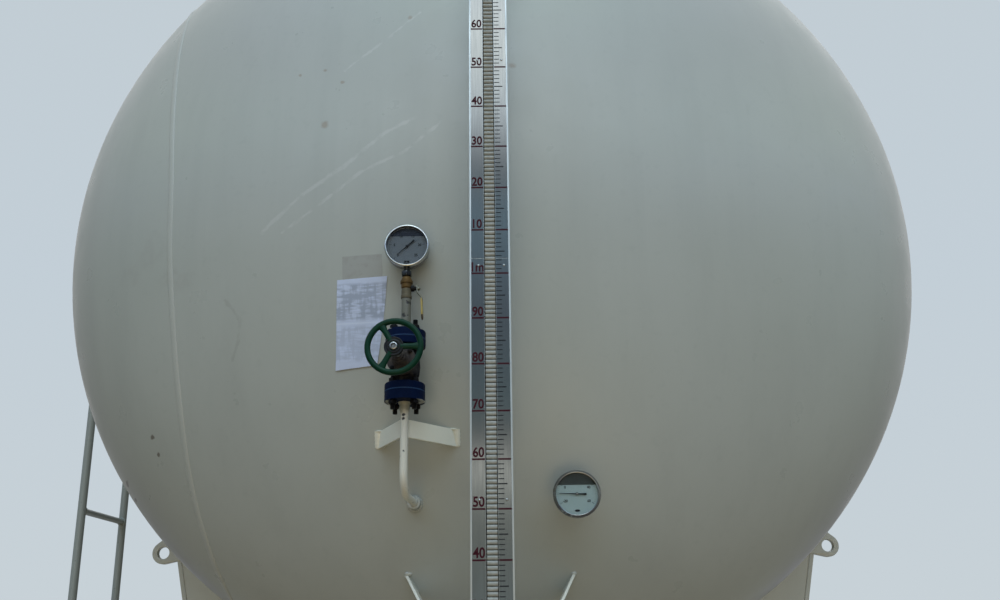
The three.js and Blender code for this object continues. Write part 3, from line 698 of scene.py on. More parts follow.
CREAM = (0.440, 0.450, 0.412)


def cream_paint(name, slot="cream_paint", colour=CREAM, chips=0.0, streaks=True, spots=()):
    """Satin paint with soft dirt, faint runs down the surface, brush-wide unevenness and chips."""
    made = Shader(name, slot, colour, 0.32)
    clouds = made.noise(1.6, 4)
    cloudy = [value * share for value, share in zip(colour, (0.93, 0.935, 0.92))]
    dirt = made.mix(made.span(clouds, 0.35, 0.7), colour, cloudy)
    if streaks:
        runs = made.noise(9.0, 5, (1.0, 1.0, 0.06), 0.6)
        dirt = made.mix(made.span(runs, 0.45, 0.75, 0, 0.5), dirt, shade(colour, 0.86))
    fine = made.noise(46.0, 4)
    dirt = made.mix(made.span(fine, 0.58, 0.8, 0, 0.35), dirt, shade(colour, 0.84))
    if chips:
        holes = made.span(made.noise(90.0, 3), 0.72 - chips, 0.74 - chips)
        if spots:
            holes = made.most(holes, made.near_spots(spots, made.ragged(260.0, 3, 0.002)))
        dirt = made.mix(holes, dirt, (0.03, 0.026, 0.022))
        made.bump(made.maths("SUBTRACT", 0.0, holes), 0.0003)
    made.set("Base Color", dirt)
    made.set("Roughness", made.span(made.noise(12.0, 4), 0.3, 0.7, 0.27, 0.38))
    made.bump(made.noise(260.0, 2), 0.00006)
    made.bump(made.noise(3.2, 2), 0.0012)
    return made


def pipe_paint():
    """Pale paint with a few chips, painted darker olive on the neck from its foot up to the lower flange."""
    made = cream_paint("pipe_paint", "chipped_pipe", (0.76, 0.72, 0.62), 0.03, False, PIPE_CHIPS)
    height = made.maths("ADD", made.axis("Z"), made.ragged(60.0, 4, 0.006, 0.3, 0.7))
    darker_neck = made.span(height, NECK_LOW_Z - 0.002, NECK_LOW_Z + 0.010, 0.0, 0.85)
    made.set("Base Color", made.mix(darker_neck, made.base(), (0.30, 0.28, 0.20)))
    return made


def head_paint():
    """The front head's paint, with its scratches, rubs, stains and chips."""
    made = cream_paint("front_head_paint")
    jitter = made.ragged(55.0, 4, 0.004)
    broken = made.span(made.noise(38.0, 5), 0.36, 0.56)
    wipes = made.near_line(LONG_SCRATCH, 0.013, jitter)
    wipes = made.most(wipes, made.near_line(SECOND_SCRATCH, 0.010, jitter))
    wipes = made.most(wipes, made.near_line(UPPER_SCRATCH, 0.008, jitter))
    scrape = made.times(made.near_line(LEFT_SCRAPE, 0.010, jitter), broken)
    rubs = made.times(made.near_spots(RUBS, made.ragged(24.0, 4, 0.02)), broken)
    surface = made.base()
    for mark, share, colour in (
            (made.times(wipes, broken), 0.5, (0.56, 0.56, 0.53)), (scrape, 0.4, (0.32, 0.31, 0.28)),
            (rubs, 0.3, (0.36, 0.35, 0.32)), (made.near_spots(STAINS, jitter), 0.55, (0.28, 0.20, 0.13)),
            (made.near_spots(CHIPS, jitter), 1.0, (0.18, 0.16, 0.135))):
        surface = made.mix(made.times(mark, share), surface, colour)
    made.set("Base Color", surface)
    return made


def steel(name, slot, colour=(0.60, 0.61, 0.62), rough=0.28, stretch=(1, 1, 1), scale=200.0):
    """Bare steel with its grain along one axis."""
    made = Shader(name, slot, colour, rough, 1.0)
    grain = made.noise(scale, 4, stretch)
    made.set("Base Color", made.mix(made.span(grain, 0.3, 0.7), colour, shade(colour, 0.84)))
    made.set("Roughness", made.span(grain, 0.25, 0.75, rough * 0.8, rough * 1.3))
    made.bump(grain, 0.00003)
    return made


def enamel(name, slot, colour, rough, dirt, amount, shine=0.5, metal=0.0):
    """Shop paint with grime in patches. Less shine keeps dark paint dark under the bright sky."""
    made = Shader(name, slot, colour, rough, metal)
    made.set("Specular IOR Level", shine)
    patches = made.noise(60.0, 5)
    made.set("Base Color", made.mix(made.span(patches, 0.5, 0.72, 0, amount), colour, dirt))
    made.set("Roughness", made.span(made.noise(90.0, 3), 0.3, 0.7, rough * 0.8, rough * 1.35))
    made.bump(made.noise(300.0, 3), 0.00012)
    return made


def mottled(name, rough, scale, high, colour, other):
    """Moulded plastic in two tones."""
    made = Shader(name, "flap_plastic", colour, rough)
    made.set("Base Color", made.mix(made.span(made.noise(scale, 3), 0.3, high), colour, other))
    return made


HEAD = head_paint()
SHELL = cream_paint("shell_paint")
WELD = cream_paint("weld_paint", colour=(0.465, 0.47, 0.43))
WELD.bump(WELD.noise(150.0, 2), 0.0006)
FITTING = cream_paint("fitting_paint", colour=(0.50, 0.50, 0.445))
PALE = cream_paint("pale_fitting_paint", colour=(0.86, 0.82, 0.70), streaks=False)
PIPE = pipe_paint()
# Painted shade: the pipe's chipped cream made much darker for the riser, which stands under the ball valve
# and the gauge.
SHADED_RISER_PAINT = cream_paint("riser_painted_shade", "chipped_pipe", (0.165, 0.160, 0.125), 0.05, False, RISER_CHIPS)
# Painted shade: the tank's cream made darker and greener for the ladder, which stands in shade at the side.
SHADED_LADDER_PAINT = cream_paint("ladder_paint", "ladder_paint", (0.30, 0.32, 0.305), 0.02)
CHANNEL = steel("gauge_channel_steel", "gauge_steel", (0.50, 0.52, 0.51), 0.4, (40, 40, 1), 12.0)
CHAMBER = steel("gauge_chamber_steel", "gauge_steel", (0.80, 0.81, 0.82), 0.26, (1, 1, 6), 60.0)
SCALE_PLATE = steel("scale_plate_metal", "gauge_steel", (0.195, 0.195, 0.190), 0.12, (30, 30, 1), 12.0)
SCREW = steel("small_screw_steel", "stem_steel", (0.42, 0.42, 0.42), 0.3)
SLOT = mottled("slot_backing", 0.6, 80.0, 0.7, (0.025, 0.025, 0.03), (0.06, 0.06, 0.065))
FLAP = mottled("flap_cream", 0.42, 120.0, 0.75, (0.37, 0.365, 0.33), (0.26, 0.255, 0.22))
RED_PRINT = enamel("red_scale_print", "scale_print", (0.050, 0.004, 0.010), 0.72,
                   (0.035, 0.005, 0.008), 0.4, 0.2)
BLACK_PRINT = enamel("black_scale_print", "scale_print", (0.015, 0.015, 0.018), 0.72,
                     (0.04, 0.04, 0.04), 0.3, 0.2)
HUB = enamel("handwheel_hub_casting", "valve_iron", (0.014, 0.015, 0.017), 0.45,
             (0.045, 0.045, 0.045), 0.4, 0.2)
# The ring at each flange joint is a real edge, and its blue, lighter than the flanges', is a painted
# highlight along it.
JOINT_HIGHLIGHT_BLUE = enamel("flange_joint_highlight_paint", "blue_paint", (0.020, 0.050, 0.120), 0.5,
                    (0.04, 0.06, 0.10), 0.5, 0.1)
IRON = enamel("valve_casting", "valve_iron", (0.045, 0.037, 0.034), 0.55, (0.13, 0.10, 0.07), 0.5, 0.2)
BLACK = enamel("black_bolts", "black_bolts", (0.012, 0.012, 0.014), 0.45,
               (0.07, 0.05, 0.035), 0.4, 0.1, 0.4)
STEM = steel("turned_stem_steel", "stem_steel", (0.20, 0.20, 0.20), 0.45)
GREEN = enamel("handwheel_green_paint", "green_paint", (0.001, 0.034, 0.016), 0.35,
               (0.006, 0.018, 0.010), 0.3, 0.15)
BRONZE = enamel("ball_valve_brass", "valve_brass", (0.125, 0.070, 0.020), 0.42,
                (0.05, 0.038, 0.022), 0.5, 0.2, 0.3)
PALE_BRONZE = enamel("ball_valve_lower_brass", "valve_brass", (0.130, 0.110, 0.070), 0.45,
                     (0.08, 0.06, 0.04), 0.5, 0.2, 0.2)
LEVER_STEEL = steel("lever_bar_steel", "lever_yellow", (0.25, 0.24, 0.185), 0.4)
SLEEVE = enamel("lever_yellow_sleeve", "lever_yellow", (0.44, 0.33, 0.110), 0.5,
                (0.22, 0.17, 0.07), 0.5, 0.2)
SLEEVE_TIP = enamel("lever_worn_tip", "lever_yellow", (0.075, 0.05, 0.03), 0.6,
                    (0.03, 0.02, 0.015), 0.5, 0.2)
BEZEL = steel("dial_bezel_steel", "dial_case_steel", (0.62, 0.62, 0.60), 0.20)
DARK_BEZEL = steel("dark_bezel_steel", "dial_case_steel", (0.30, 0.30, 0.29), 0.16)
CASE = steel("dial_case_steel", "dial_case_steel", (0.22, 0.22, 0.23), 0.25)
DIAL_BLACK = enamel("dial_black", "dial_face", (0.012, 0.012, 0.013), 0.4, (0.03, 0.03, 0.03), 0.3, 0.1)
DARK_SOCKET = enamel("gauge_socket_metal", "stem_steel", (0.06, 0.06, 0.058), 0.2,
                     (0.04, 0.035, 0.03), 0.4, 0.2, 0.9)
GLASS = Shader("dial_glass", "dial_glass", (0.05, 0.055, 0.055), 0.03, 0.0, alpha=0.08, coat_weight=0.0)
GLASS.set("Roughness", GLASS.span(GLASS.noise(40.0, 4), 0.4, 0.75, 0.02, 0.12))
TAPE = enamel("dull_tape", "clear_tape", (0.36, 0.36, 0.335), 0.5, (0.31, 0.30, 0.27), 0.6)


def dial_paint(name, colour, dark, level):
    """A dial face with painted shade: its upper part, above the liquid's level, is painted darker."""
    made = Shader(name, "dial_face", colour, 0.4)
    made.set("Specular IOR Level", 0.2)
    shade_above_level = made.span(made.axis("Z"), level - 0.0006, level + 0.0006)
    spots = made.span(made.noise(120.0, 3), 0.4, 0.75, 0, 0.3)
    made.set("Base Color", made.mix(shade_above_level, made.mix(spots, colour, shade(colour, 0.8)), dark))
    return made


# Painted shade: the pressure dial, light grey in itself, takes a dark blue-grey for its shaded recess, and
# darker still above the liquid's level.
GAUGE_FACE = dial_paint("pressure_dial_face", (0.155, 0.180, 0.205), (0.014, 0.018, 0.036), GAUGE_Z + 0.026)
# Painted shade on the thermometer's dial too: darker above its liquid's level.
WARM_FACE = dial_paint("thermometer_dial_face", (0.39, 0.50, 0.49), (0.029, 0.038, 0.033),
                       THERMOMETER.z + 0.0205)


def paper():
    """Bluish paper with faint rows of print, densest in its upper half, and a painted highlight along its
    one crease.
    """
    clean, inked, faded = (0.60, 0.66, 0.84), (0.22, 0.25, 0.31), (0.50, 0.54, 0.66)
    made = Shader("printed_paper", "paper", clean, 0.75)
    up = made.axis("Z")
    rows = made.span(made.noise(60.0, 3, (0.45, 1.0, 2.6)), 0.40, 0.62)
    columns = made.span(made.noise(120.0, 2, (1.0, 1.0, 0.08)), 0.46, 0.64, 0.0, 0.8)
    rows = made.maths("MINIMUM", made.maths("ADD", rows, columns), 1.0)
    upper = made.times(made.span(up, 1.318, 1.328), made.span(up, 1.412, 1.404))
    lower = made.times(made.span(up, 1.222, 1.230), made.span(up, 1.312, 1.304))
    amount = made.maths("ADD", made.times(upper, 0.60), made.times(lower, 0.30))
    soil = made.mix(made.span(made.noise(22.0, 4), 0.35, 0.7, 0, 0.5), clean, faded)
    printed = made.mix(made.times(rows, amount), soil, inked)
    # Painted highlight: a lighter line along the crease.
    crease_highlight = made.span(made.maths("ABSOLUTE", made.maths("SUBTRACT", up, 1.315)), 0.0022, 0.0008)
    made.set("Base Color", made.mix(made.times(crease_highlight, 0.5), printed, (0.70, 0.75, 0.88)))
    made.bump(made.noise(30.0, 3), 0.0006)
    return made


PAPER = paper()


BLUE = (0.001, 0.007, 0.035)


def flange_paint():
    """Dark blue, turning cream on the lower flange's underside beyond 30 mm from the line's axis and on the
    upper flange's top face.
    """
    made = enamel("flange_blue_paint", "blue_paint", BLUE, 0.45, (0.006, 0.014, 0.050), 0.4, 0.06)
    height = made.maths("ADD", made.axis("Z"), made.ragged(70.0, 4, 0.0025, 0.3, 0.7))
    aside = made.maths("ABSOLUTE", made.maths("SUBTRACT", made.axis("X"), LINE_X))
    low = made.times(made.span(height, LOWER_PAIR_Z[0] + 0.0005, LOWER_PAIR_Z[0]),
                     made.span(aside, 0.029, 0.032))
    high = made.span(height, UPPER_PAIR_Z[2] - 0.0005, UPPER_PAIR_Z[2])
    made.set("Base Color", made.mix(made.most(low, high), made.base(), (0.34, 0.34, 0.31)))
    return made


def valve_paint():
    """The valve's casting, painted blue on its two flanges."""
    made = enamel("valve_body_casting", "valve_iron", (0.012, 0.012, 0.016), 0.5,
                  (0.10, 0.09, 0.075), 0.5, 0.06)
    height = made.maths("ADD", made.axis("Z"), made.ragged(140.0, 3, 0.002))
    low = made.span(height, LOWER_PAIR_Z[2] + 0.001, LOWER_PAIR_Z[2])
    high = made.span(height, UPPER_PAIR_Z[0] - 0.001, UPPER_PAIR_Z[0])
    made.set("Base Color", made.mix(made.most(low, high), made.base(), BLUE))
    return made


NAVY = flange_paint()
VALVE = valve_paint()


def make(name, form, paint, *replaces, body="root", sharp=50):
    """A piece of the object from a form, riding on a body, with the nodes that it replaces."""
    mesh = bpy.data.meshes.new(name)
    mesh.from_pydata([tuple(point) for point in form.points], [], form.faces)
    mesh.materials.append(paint.material)
    mesh.shade_smooth()
    mesh.set_sharp_from_angle(angle=radians(sharp))
    piece = bpy.data.objects.new(name, mesh)
    bpy.context.scene.collection.objects.link(piece)
    evened = piece.modifiers.new("evened_normals", "WEIGHTED_NORMAL")
    evened.keep_sharp = True
    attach(piece, body)
    if replaces:
        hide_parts(*replaces)
    return piece


def repaint(paint, *nodes):
    """A solid of the frame that stays keeps its shape and takes a material."""
    for node in nodes:
        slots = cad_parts[node].data.materials
        slots.clear()
        slots.append(paint.material)


# Camera, from the fit to the gauge's scale and the head's outline

def add_camera():
    pitch, yaw, roll = radians(14.84), radians(0.05), radians(-0.65)
    forward = Vector((sin(yaw) * cos(pitch), cos(yaw) * cos(pitch), sin(pitch)))
    level = Vector((cos(yaw), -sin(yaw), 0))
    upright = level.cross(forward)
    right = level * cos(roll) + upright * sin(roll)
    up = upright * cos(roll) - level * sin(roll)
    data = bpy.data.cameras.new("camera")
    data.sensor_width = 36.0
    data.lens = 32.4
    data.shift_y = 0.09
    camera = bpy.data.objects.new("camera", data)
    turn = Matrix((right, up, -forward)).transposed().to_4x4()
    camera.matrix_world = at(0.017, -2.896, 0.620) @ turn
    bpy.context.scene.collection.objects.link(camera)
    bpy.context.scene.camera = camera


# Shell

def head_form():
    """The front head with its straight flange, hollow."""
    rings = 56
    profile = []
    for step in range(rings + 1):
        angle = pi / 2 * step / rings
        profile.append((SHELL_RADIUS * sin(angle), HEAD_DEPTH * cos(angle)))
    profile[0] = (0, HEAD_DEPTH)
    flange = TANGENT_Y - JOINTS_Y[0]
    profile += [(SHELL_RADIUS, flange), (SHELL_RADIUS - WALL, flange)]
    for step in range(20, -1, -1):
        angle = pi / 2 * step / 20
        profile.append(((SHELL_RADIUS - WALL) * sin(angle), (HEAD_DEPTH - WALL) * cos(angle)))
    profile[-1] = (0, HEAD_DEPTH - WALL)
    return turned(profile, SHELL_SIDES).moved(aim((0, TANGENT_Y, AXIS_Z), (0, -1, 0)))


def course_form(start, end):
    """One rolled course."""
    inner = SHELL_RADIUS - WALL
    rows = [start + (end - start) * step / 12 for step in range(13)]
    profile = [(SHELL_RADIUS, y) for y in rows] + [(inner, y) for y in reversed(rows)]
    return turned(profile, SHELL_SIDES).moved(aim((0, 0, AXIS_Z), (0, 1, 0)))


def add_shell():
    head = head_form()
    make("front_dished_head", head, HEAD, "front_head")
    make("rear_dished_head", head.moved(BEHIND), SHELL, "rear_head")
    make("front_shell_course", course_form(JOINTS_Y[0], JOINTS_Y[1]), SHELL, "front_course")
    make("rear_shell_course", course_form(JOINTS_Y[1], JOINTS_Y[2]), SHELL, "rear_course")

    seams = Form()
    for y in JOINTS_Y:
        seams.add(girth(y, SHELL_RADIUS, *SEAM_BEAD))
    for start, end, degrees in LENGTHWISE_SEAMS:
        up = Vector((cos(radians(degrees)), 0, sin(radians(degrees))))
        line = Vector((0, 0, AXIS_Z)) + up * SHELL_RADIUS
        path = between(line + TO_REAR * start, line + TO_REAR * end, 60)
        seams.add(bead(path, [up] * 61, *SEAM_BEAD))
    make("shell_weld_seams", seams, WELD)

    spots = through([(x, z) for x, z in HEAD_SEAM], 12)
    path = [head_point(*spot) for spot in spots]
    seam = bead(path, [head_normal(*spot) for spot in spots], *HEAD_SEAM_BEAD)
    make("front_head_seam", seam, WELD)
    make("rear_head_seam", seam.moved(BEHIND), WELD)


# Saddles

def lug_form():
    """A lifting lug on the right of the saddle, in X and Z, with a round eye."""
    eye = Vector(LUG_EYE)
    corner = Vector((HORN[0], HORN[1] + 0.0003))
    to_corner = corner - eye
    start = Vector((1, 0)).angle_signed(to_corner) * -1
    start += pi / 2 - asin(LUG_RADIUS / to_corner.length)
    outward = Vector((eye.x, eye.y - AXIS_Z)).normalized()
    end = Vector((1, 0)).angle_signed(outward) * -1 + pi / 2
    sweep = (end - start) % (2 * pi)
    upper = outward * (SHELL_RADIUS - WALL / 2)
    upper = Vector((upper.x, upper.y + AXIS_Z)) + Vector((cos(end), sin(end))) * LUG_RADIUS
    inner = Vector((HORN[0] - 0.10, HORN[1] + 0.0003))
    outline = [upper, inner, corner]
    outline += [eye + LUG_RADIUS * Vector((cos(start + sweep * step / 24), sin(start + sweep * step / 24)))
                for step in range(25)]
    hole = [eye + LUG_HOLE * Vector((cos(-a), sin(-a))) for a in turns(36)]
    flat = plate([outline, hole], -LUG_THICKNESS / 2, LUG_THICKNESS / 2, 0.0012)
    return flat.moved(Matrix.Rotation(pi / 2, 4, "X"))


def add_saddles():
    mirror = Matrix.Diagonal((-1, 1, 1, 1))
    inner, outer = SHELL_RADIUS - 0.001, WEAR_OUTSIDE
    middle = (inner + outer) / 2
    half = (outer - inner) / 2
    wide, edge = WEAR_HALF_WIDTH, 0.0015
    section = [(-wide, -half), (wide, -half), (wide, half - edge), (wide - edge, half),
               (edge - wide, half), (-wide, half - edge)]
    path, ups = saddle_arc(middle, WEAR_HALF_ANGLE, 0)
    wear = swept(path, section, ups=ups)

    welds = Form()
    round_section, flush_section = circle(FILLET, 10), circle(FLUSH_FILLET, 8)
    reach = asin((HORN[0] - 0.02) / WEAR_OUTSIDE)
    for side in (-1, 1):
        path, ups = saddle_arc(WEAR_OUTSIDE, reach, side * WEB_HALF)
        welds.add(swept(path, round_section, ups=ups))
        path, ups = saddle_arc(SHELL_RADIUS, WEAR_HALF_ANGLE, side * WEAR_HALF_WIDTH)
        welds.add(swept(path, round_section, ups=ups))
        span, face = BASE_X - 0.02, side * WEB_HALF
        welds.add(swept(between((-span, face, BASE_TOP), (span, face, BASE_TOP), 40), round_section))
        for hand in (-1, 1):
            low = (hand * (BASE_X - 0.012), face, BASE_TOP)
            high = (hand * (HORN[0] - 0.012), face, HORN[1])
            welds.add(swept(between(low, high, 20), flush_section if side < 0 else round_section))
    angle = asin(LUG_EYE[0] / sqrt(LUG_EYE[0] ** 2 + (AXIS_Z - LUG_EYE[1]) ** 2))
    arc = [angle - 0.022 + 0.055 * step / 8 for step in range(9)]
    for hand, side in ((-1, -1), (-1, 1), (1, -1), (1, 1)):
        path = [(hand * WEAR_OUTSIDE * sin(a), side * LUG_THICKNESS / 2, AXIS_Z - WEAR_OUTSIDE * cos(a))
                for a in arc]
        welds.add(swept(path, round_section))

    for end, place in (("front", Matrix()), ("rear", BEHIND)):
        make(f"{end}_wear_plate_arc", wear.moved(place), FITTING, f"{end}_saddle_wear_plate")
        make(f"{end}_saddle_welds", welds.moved(place), WELD)
        right, left = lug_form().moved(place), lug_form().moved(place @ mirror)
        if end == "rear":
            right, left = left, right
        make(f"{end}_right_eye_plate", right, FITTING, f"{end}_saddle_right_lug")
        make(f"{end}_left_eye_plate", left, FITTING, f"{end}_saddle_left_lug")
        for part in ("web", "base_plate", "left_rib", "right_rib"):
            repaint(FITTING, f"{end}_saddle_{part}")


# Ladder

def add_ladder():
    rails, welds = Form(), Form()
    for y in RAIL_YS:
        start = (RAIL_X, y, RAIL_TOP_Z - RAIL_BEND)
        end = (RAIL_X + RAIL_BEND, y, RAIL_TOP_Z)
        shell_x = -sqrt(SHELL_RADIUS ** 2 - (RAIL_TOP_Z - AXIS_Z) ** 2)
        path = [(RAIL_X, y, 0.0)] + bend(start, (RAIL_X, y, RAIL_TOP_Z), end, 12)
        path.append((shell_x + 0.012, y, RAIL_TOP_Z))
        rails.add(tube(path, RAIL_RADIUS, 24))
        for z in RUNG_ZS:
            reach = RUNG_RADIUS + 0.002
            inward = 1 if y == RAIL_YS[0] else -1
            weld_y = y + inward * (RAIL_RADIUS - 0.002)
            path = [(RAIL_X + reach * cos(a), weld_y, z + reach * sin(a)) for a in turns(20)]
            welds.add(swept(path, circle(0.0032, 8), True, [TO_REAR] * 20))
    for x, z in [(RAIL_X, z) for z in RUNG_ZS] + [(RAIL_X + 1.4 * RAIL_BEND, RAIL_TOP_Z)]:
        rails.add(tube([(x, y, z) for y in RAIL_YS], RUNG_RADIUS, 20))
    make("ladder_rails_and_rungs", rails, SHADED_LADDER_PAINT, "ladder")
    make("ladder_rung_welds", welds, SHADED_LADDER_PAINT)
    repaint(SHADED_LADDER_PAINT, "ladder_front_standoff", "ladder_rear_standoff")


# Level gauge

def flange_pair(radius, low, high, joint=0.0012):
    """Two flanges about Z with a gasket between them, its edge set back."""
    middle = (low + high) / 2
    profile = [
        (0, low), (radius, low), (radius, middle - joint), (radius * 0.86, middle - joint),
        (radius * 0.86, middle + joint), (radius, middle + joint), (radius, high), (0, high),
    ]
    return spun(profile, 0.0012, 72)


def fasteners(places, bolt, low, high, below=0.004, above=0.004):
    """Studs along Z through each place, with a nut above and below that they stand out of."""
    radius, across, thick = bolt
    form = Form()
    for place in places:
        form.add(thread(radius, low - thick - below, high + thick + above), place)
        form.add(nut(across, low - thick, low), place)
        form.add(nut(across, high, high + thick), place)
    return form


def add_gauge_column():
    flange_radius, flange_thick = END_FLANGE
    upright = Form()
    upright.add(turned(post(CHAMBER_RADIUS, CHAMBER_LOW_Z + 0.01, CHAMBER_HIGH_Z - 0.01), 48))
    low = (CHAMBER_LOW_Z, CHAMBER_LOW_Z + flange_thick)
    high = (CHAMBER_HIGH_Z - flange_thick, CHAMBER_HIGH_Z)
    upright.add(flange_pair(flange_radius, *low))
    upright.add(flange_pair(flange_radius, *high))
    for z, half, edge in [(z, 0.012, 0.0012) for z in RING_ZS] + [(CLAMP_Z, 0.03, 0.0015)]:
        upright.add(ring(CHAMBER_RADIUS - 0.001, RING_RADIUS, z - half, z + half, edge, 48))
    stand = at(0, CHAMBER_Y, 0)
    make("gauge_chamber_tube", upright.moved(stand), CHAMBER, "level_gauge_chamber")

    bolts = Form()
    places = about((0, 0, 0), 4, BOLT_CIRCLE, pi / 4)
    for pair in (low, high):
        bolts.add(fasteners(places, GAUGE_BOLT, *pair), stand)
    make("gauge_chamber_bolts", bolts, SCREW)

    branch_bolts, welds = Form(), Form()
    reach = BRANCH_RADIUS * 1.06
    for name, z in zip(("upper", "lower"), BRANCH_ZS):
        across = aim((0, 0, z), (0, -1, 0))
        branch = turned(post(BRANCH_RADIUS, -head_point(0, z).y - 0.012, -CHAMBER_Y - 0.02), 32)
        branch.add(flange_pair(flange_radius, *BRANCH_FLANGE))
        make(f"gauge_{name}_branch_pipe", branch.moved(across), FITTING, f"level_gauge_{name}_branch")
        branch_bolts.add(fasteners(places, GAUGE_BOLT, *BRANCH_FLANGE), across)
        welds.add(collar(0, z, BRANCH_RADIUS + 0.002, 0.006))
        joint = [(reach * cos(a), CHAMBER_Y + sqrt(CHAMBER_RADIUS ** 2 - (reach * cos(a)) ** 2),
                  z + reach * sin(a)) for a in turns(32)]
        welds.add(swept(joint, circle(0.003, 8), True, [TO_REAR] * 32))
    make("gauge_branch_bolts", branch_bolts, BLACK)
    make("gauge_branch_welds", welds, WELD)


def add_gauge_front():
    half, front, back = FRAME_HALF, GAUGE_FRONT_Y, GAUGE_BACK_Y
    floor = PLATE_Y + 0.0006
    slot_y = back - SLOT_FLOOR
    outline = [(-half, back), (-half, front), (-half + LIP, front), (-half + LIP, floor),
               (-SLOT_HALF, floor), (-SLOT_HALF, slot_y), (SLOT_HALF, slot_y), (SLOT_HALF, floor),
               (half - LIP, floor), (half - LIP, front), (half, front), (half, back)]
    channel = plate([outline[::-1]], GAUGE_LOW_Z, GAUGE_HIGH_Z, 0.0004)
    make("gauge_channel", channel, CHANNEL, "level_gauge_frame")

    joint_z = SCALE_ZERO_Z + 1.034
    columns = Form()
    for x0, x1 in ((-half + LIP + 0.0002, -SLOT_HALF - 0.0004), (SLOT_HALF + 0.0004, half - LIP - 0.0002)):
        for low, high in ((GAUGE_LOW_Z + 0.004, joint_z - 0.0004), (joint_z + 0.0004, GAUGE_HIGH_Z - 0.004)):
            columns.add(block((x0, PLATE_Y, low), (x1, floor + 0.0002, high), 0.0002))
    make("gauge_scale_plates", columns, SCALE_PLATE)

    backing = block((-SLOT_HALF, slot_y - 0.001, SCALE_ZERO_Z),
                    (SLOT_HALF, slot_y, SCALE_ZERO_Z + SCALE_LENGTH))
    make("gauge_slot_backing", backing, SLOT, "level_gauge_flap_column")
    flaps = Form()
    vane = tube([(-0.0102, 0, 0), (0, 0, 0), (0.0105, 0, 0)], 0.0046, 18, 0.0003)
    vane = vane.moved(Matrix.Diagonal((1, 0.7, 1, 1)))
    count = round(SCALE_LENGTH / 0.01)
    for step in range(count):
        lean = radians(1.5 * sin(step * 1.9))
        place = at(0, front + 0.0062, SCALE_ZERO_Z + 0.005 + 0.01 * step)
        flaps.add(vane, place @ Matrix.Rotation(lean, 4, "X"))
    make("gauge_flaps", flaps, FLAP)

    left, right = (-half + LIP + 0.0004, -SLOT_HALF - 0.0006), (SLOT_HALF + 0.0006, half - LIP - 0.0004)
    face, inside = PLATE_Y - 0.00012, PLATE_Y + 0.0002
    red, black = Form(), Form()
    toward = aim((0, 0, 0), (0, -1, 0))
    for decimetre in range(1, 25):
        z = SCALE_ZERO_Z + decimetre * 0.1
        words = f"{decimetre // 10}m" if decimetre % 10 == 0 else str(decimetre % 10 * 10)
        digits = lettering(words, DIGIT_HEIGHT, 0.00025, 0.84, 0.026)
        middle = (left[0] + left[1]) / 2
        red.add(digits, at(middle, PLATE_Y, z + 0.0038) @ toward)
        for x0, x1 in (left, right):
            red.add(block((x0, face, z - LINE_HALF), (x1, inside, z + LINE_HALF), 0.0001))
    for centimetre in range(1, 250):
        if centimetre % 10 == 0:
            continue
        z = SCALE_ZERO_Z + centimetre * 0.01
        length, thick = SHORT_TICK if centimetre % 5 else LONG_TICK
        black.add(block((right[0], face, z - thick), (right[0] + length, inside, z + thick), 0.0001))
    make("scale_numbers_and_lines", red, RED_PRINT)
    make("scale_ticks", black, BLACK_PRINT)

    screws = Form()
    head_shape = turned([(0, 0.0014), (0.0014, 0.0012), (0.0025, 0.0006), (0.0028, 0.0), (0, 0)], 24)
    for step in range(5):
        z = SCALE_ZERO_Z + 0.018 + 0.5 * step
        for x in (-0.0245, 0.0300):
            screws.add(head_shape, at(x, PLATE_Y, z) @ toward)
    make("scale_plate_screws", screws, SCREW)


# A ball of radius 1 in profile, squashed into each small lump of weld
BLOB = [(0, -1), (0.5, -0.86), (0.86, -0.5), (1, 0), (0.86, 0.5), (0.5, 0.86), (0, 1)]


def strut_seam(foot, side):
    """Where a strut's flat side meets the head, from its front edge's top down to its back edge."""
    hand = 1 if foot.x > 0 else -1
    along = (Vector((hand * CHAMBER_RADIUS, CHAMBER_Y, CLAMP_Z)) - foot).normalized()
    flat = along.cross(TO_REAR).normalized()
    across = flat.cross(along)
    path = []
    for step in range(17):
        start = foot + across * STRUT_WIDTH * (0.5 - step / 16) * (-1 if across.y > 0 else 1)
        near, far = -0.08, 0.16
        for _ in range(30):
            middle = (near + far) / 2
            point = start + along * middle
            if point.y > head_point(point.x, point.z).y:
                near = middle
            else:
                far = middle
        path.append(start + along * near + flat * (side * 0.003))
    return path


def add_struts():
    repaint(PALE, "level_gauge_left_strut", "level_gauge_right_strut")
    welds = Form()
    for foot in STRUT_FEET:
        for side in (-1, 1):
            path = strut_seam(Vector(foot), side)
            ups = [head_normal(point.x, point.z) for point in path]
            welds.add(swept(path, circle(0.0032, 8), ups=ups))
    for x, z, wide, high in STRUT_BLOBS:
        welds.add(turned(BLOB, 20), at(*head_point(x, z)) @ Matrix.Diagonal((wide, 0.0045, high, 1)))
    make("strut_foot_welds", welds, FITTING)


# Gauge line

LINE = at(LINE_X, LINE_Y, 0)


